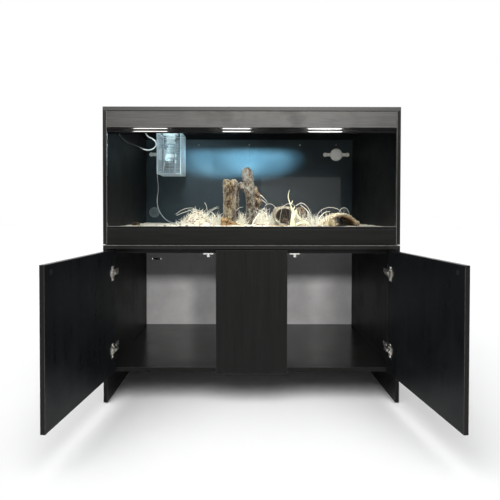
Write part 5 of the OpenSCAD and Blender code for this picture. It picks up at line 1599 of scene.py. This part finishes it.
def make_vent_parts():
    """Fly gauze behind the slats of the four vents, woven wire in the upper ones whose lengths
    are the chords of the round opening, and caps on the upper vents' ears."""
    radius, pitch, wire = 0.0300, 0.0024, 0.00034
    offset = np.arange(-12, 13) * pitch
    chord = np.sqrt(radius ** 2 - offset ** 2)
    parts = []
    for x in (-VENT_X, VENT_X):
        for a, c in zip(offset, chord):
            for y, ends in ((BACK + 0.0020, [(x - c, VENT_Z + a), (x + c, VENT_Z + a)]),
                            (BACK + 0.0026, [(x + a, VENT_Z - c), (x + a, VENT_Z + c)])):
                parts.append(tube([(u, y, w) for u, w in ends], wire, 5))
    piece("upper_gauze", parts, "gauze_wire", smooth=60)
    parts = [disc(x, LOW_VENT[1], 0.0255, BACK + 0.0022, 0.0012) for x in (-LOW_VENT[0], LOW_VENT[0])]
    piece("lower_gauze", parts, "dark_gauze", smooth=40)
    parts = [disc(x + sign * away, VENT_Z, size, BACK - 0.0026, 0.0012, 0.0018)
             for x in (-VENT_X, VENT_X) for sign in (-1, 1)
             for away, size in ((0.0605, 0.0096), (0.0425, 0.0084))]
    piece("vent_ear_caps", parts, "vent_caps", smooth=40)


def make_slot_brush():
    """Brush in the cupboard's cable slot: thin bristles that hang side by side, in three rows,
    between two rails."""
    parts = []
    for k, x in enumerate(np.linspace(-SLOT_X - 0.021, -SLOT_X + 0.021, 56)):
        y = BACK + 0.003 + 0.0006 * (k % 3)
        parts.append(tube([(x, y, SLOT_Z + 0.0075), (x + 0.0003 * (k % 2), y, SLOT_Z - 0.0075)],
                          0.00055, 5))
    for dz in (-0.0052, 0.0052):
        parts.append(tube([(-SLOT_X + dx, BACK + 0.0036, SLOT_Z + dz) for dx in (-0.024, 0.024)],
                          0.0016, 8))
    piece("cable_slot_brush", parts, "brush_bristle", smooth=60)


# ---------------------------------------------------------------- lights and surroundings

def new_lamp(name, kind, at, power, colour=(1, 1, 1)):
    """A lamp of the scene, not yet aimed."""
    data = bpy.data.lights.new(name, kind)
    data.energy = power
    data.color = colour
    lamp = new_object(name, data)
    lamp.location = place(at)
    return lamp


def aim(lamp, spot):
    """Turns a lamp so that it shines at a spot."""
    away = Vector(tuple(place(spot))) - lamp.location
    lamp.rotation_euler = away.to_track_quat("-Z", "Y").to_euler()


def area_lamp(name, at, spot, size, power, colour=(1, 1, 1), spread=180.0):
    """Rectangular lamp, unseen by the camera."""
    lamp = new_lamp(name, "AREA", at, power, colour)
    lamp.data.shape = "RECTANGLE"
    lamp.data.size, lamp.data.size_y = size
    lamp.data.spread = math.radians(spread)
    aim(lamp, spot)
    lamp.visible_camera = False
    return lamp


def mirrored_card(name, x0, x1, z0, z1, reach, radiance, colour):
    """A lamp that stands reach in front of the object, so that its mirror image in the front
    plane covers the given X and Z: both are scaled from the camera by the path's length over
    the camera's distance. Its power is its radiance times pi times its area."""
    wider = (reach - CAMERA_AT[1]) / -CAMERA_AT[1]
    x = CAMERA_AT[0] + ((x0 + x1) / 2 - CAMERA_AT[0]) * wider
    z = CAMERA_AT[2] + ((z0 + z1) / 2 - CAMERA_AT[2]) * wider
    size = ((x1 - x0) * wider, (z1 - z0) * wider)
    return area_lamp(name, (x, -reach, z), (x, 0.0, z), size,
                     radiance * math.pi * size[0] * size[1], colour)


def make_lights():
    """Soft overhead light, three ceiling strips whose sheen the fascia and the ribs show, a
    dim card that the panes mirror, the light of the cabinet's own tube with its blue wash on
    the back panel, and faint fills inside the vivarium. Returns the strips."""
    sky = new_lamp("overhead", "SUN", (0, -1, 4), 2.84)
    sky.data.angle = math.radians(70)
    sky.rotation_euler = Euler((math.radians(20), math.radians(-6), 0), "XYZ")
    strips = [mirrored_card(name, x - width / 2, x + width / 2, 1.0794, 1.2160, STRIP_REACH,
                            radiance, (1.0, 0.985, 0.95))
              for name, x, width, radiance in (("strip_left", -0.396, 0.131, 36.0),
                                               ("strip_middle", -0.0595, 0.106, 66.0),
                                               ("strip_right", 0.2866, 0.128, 86.0))]
    card = mirrored_card("pane_card", 0.036, 0.345, 0.660, 0.880, 3.0, 0.34, (1.0, 0.96, 0.90))
    card.visible_diffuse = False
    area_lamp("tube_down", (0.0, 0.105, 1.098), (0.0, 0.20, 0.68), (0.60, 0.045), 4.7,
              (0.97, 0.98, 0.99), 130.0)
    area_lamp("front_fill", (-0.02, 0.032, 0.880), (-0.02, 0.500, 0.850), (0.96, 0.30), 0.42,
              (1.0, 0.985, 0.95))
    area_lamp("tube_end", (-0.285, 0.150, 1.085), (-0.336, 0.42, 1.02), (0.02, 0.02), 0.5,
              (0.60, 0.88, 1.0), 120.0)
    area_lamp("guard_glint", (-0.425, 0.383, 1.000), (-0.395, 0.440, 1.085), (0.02, 0.02), 0.20,
              (0.70, 0.93, 1.0), 120.0)
    for name, x, power, angle, soft, squash in (("wall_wash_left", -0.160, 53.0, 64, 0.95, 0.45),
                                                ("wall_wash_right", 0.056, 62.0, 60, 0.90, 0.48)):
        wash = new_lamp(name, "SPOT", (x, 0.120, 1.0994), power, (0.345, 0.745, 1.0))
        wash.data.spot_size = math.radians(angle)
        wash.data.spot_blend = soft
        wash.data.shadow_soft_size = 0.0030
        aim(wash, (x, BACK, 1.036))
        wash.scale = (1.0, squash, 1.0)
    return strips


def mirror_rays(near):
    """Whether a ray comes by a mirror or through glass, and whether it comes from the camera."""
    rays = add(near, "LightPath").outputs
    return larger(rays["Is Glossy Ray"], rays["Is Transmission Ray"]), rays["Is Camera Ray"]


def make_world():
    """White surroundings for the eye. Mirrors and glass see them white too, but dark behind
    the camera, as a room is. The object is lit by an even grey, dimmer from low behind it."""
    world = bpy.data.worlds.new("surroundings")
    bpy.context.scene.world = world
    world.use_nodes = True
    ground = world.node_tree.nodes["Background"]
    y, z = axes(add(ground, "TexCoord").outputs["Generated"])[1:3]
    room = blend(span(y, -0.55, -0.05), (0.012, 0.013, 0.015), (1.0, 1.0, 1.0))
    behind = times(span(y, 0.0, 0.25), span(z, 0.25, 0.45, 1.0, 0.0))
    even = blend(behind, (0.22, 0.222, 0.225), (0.03, 0.03, 0.031))
    by_mirror, by_eye = mirror_rays(ground)
    feed(ground.inputs, {"Color": blend(by_eye, blend(by_mirror, even, room), (1.0, 1.0, 1.0))})


def make_floor(strips):
    """Pale floor: a wide grid whose finish is near white with a faint unevenness, and greyer
    for the light that it throws back on the object. The strips light neither it nor the panes."""
    shader, coordinates = new_finish("studio_floor", Roughness=0.9, Specular_IOR_Level=0.1)
    by_mirror, by_eye = mirror_rays(shader)
    pale = blend(speckle(coordinates, 0.8, 2.0), (0.975, 0.975, 0.975), (0.995, 0.995, 0.995))
    feed(shader.inputs, {"Base Color": blend(larger(by_eye, by_mirror), (0.45, 0.45, 0.45), pale)})
    x, y = np.meshgrid(np.linspace(-14, 14, 9), np.linspace(-14, 14, 9))
    mesh = bpy.data.meshes.new("studio_floor")
    mesh.from_pydata(np.stack([x, y, 0 * x], axis=-1).reshape(-1, 3), [], sheet_faces(9, 9))
    mesh.materials.append(FINISH["studio_floor"])
    floor = new_object("studio_floor", mesh)
    unlit = bpy.data.collections.new("not_lit_by_strips")
    for thing in (floor, NODES["glass_left"], NODES["glass_right"]):
        unlit.objects.link(thing)
    for member in unlit.collection_objects:
        member.light_linking.link_state = "EXCLUDE"
    for lamp in strips:
        lamp.light_linking.receiver_collection = unlit


# ---------------------------------------------------------------- the scene

make_finishes()
make_camera()
make_leads()
dress_nodes()
make_bands()
make_runner_beads()
make_joint_shadows()
make_guard()
make_hatch()
make_sand()
make_cork_tube()
make_branch()
make_log()
make_arch()
make_lumps()
make_grass()
make_stalks()
make_twigs()
make_chips()
make_screws()
make_vent_parts()
make_slot_brush()
make_floor(make_lights())
make_world()
bpy.context.scene.view_settings.view_transform = "Standard"
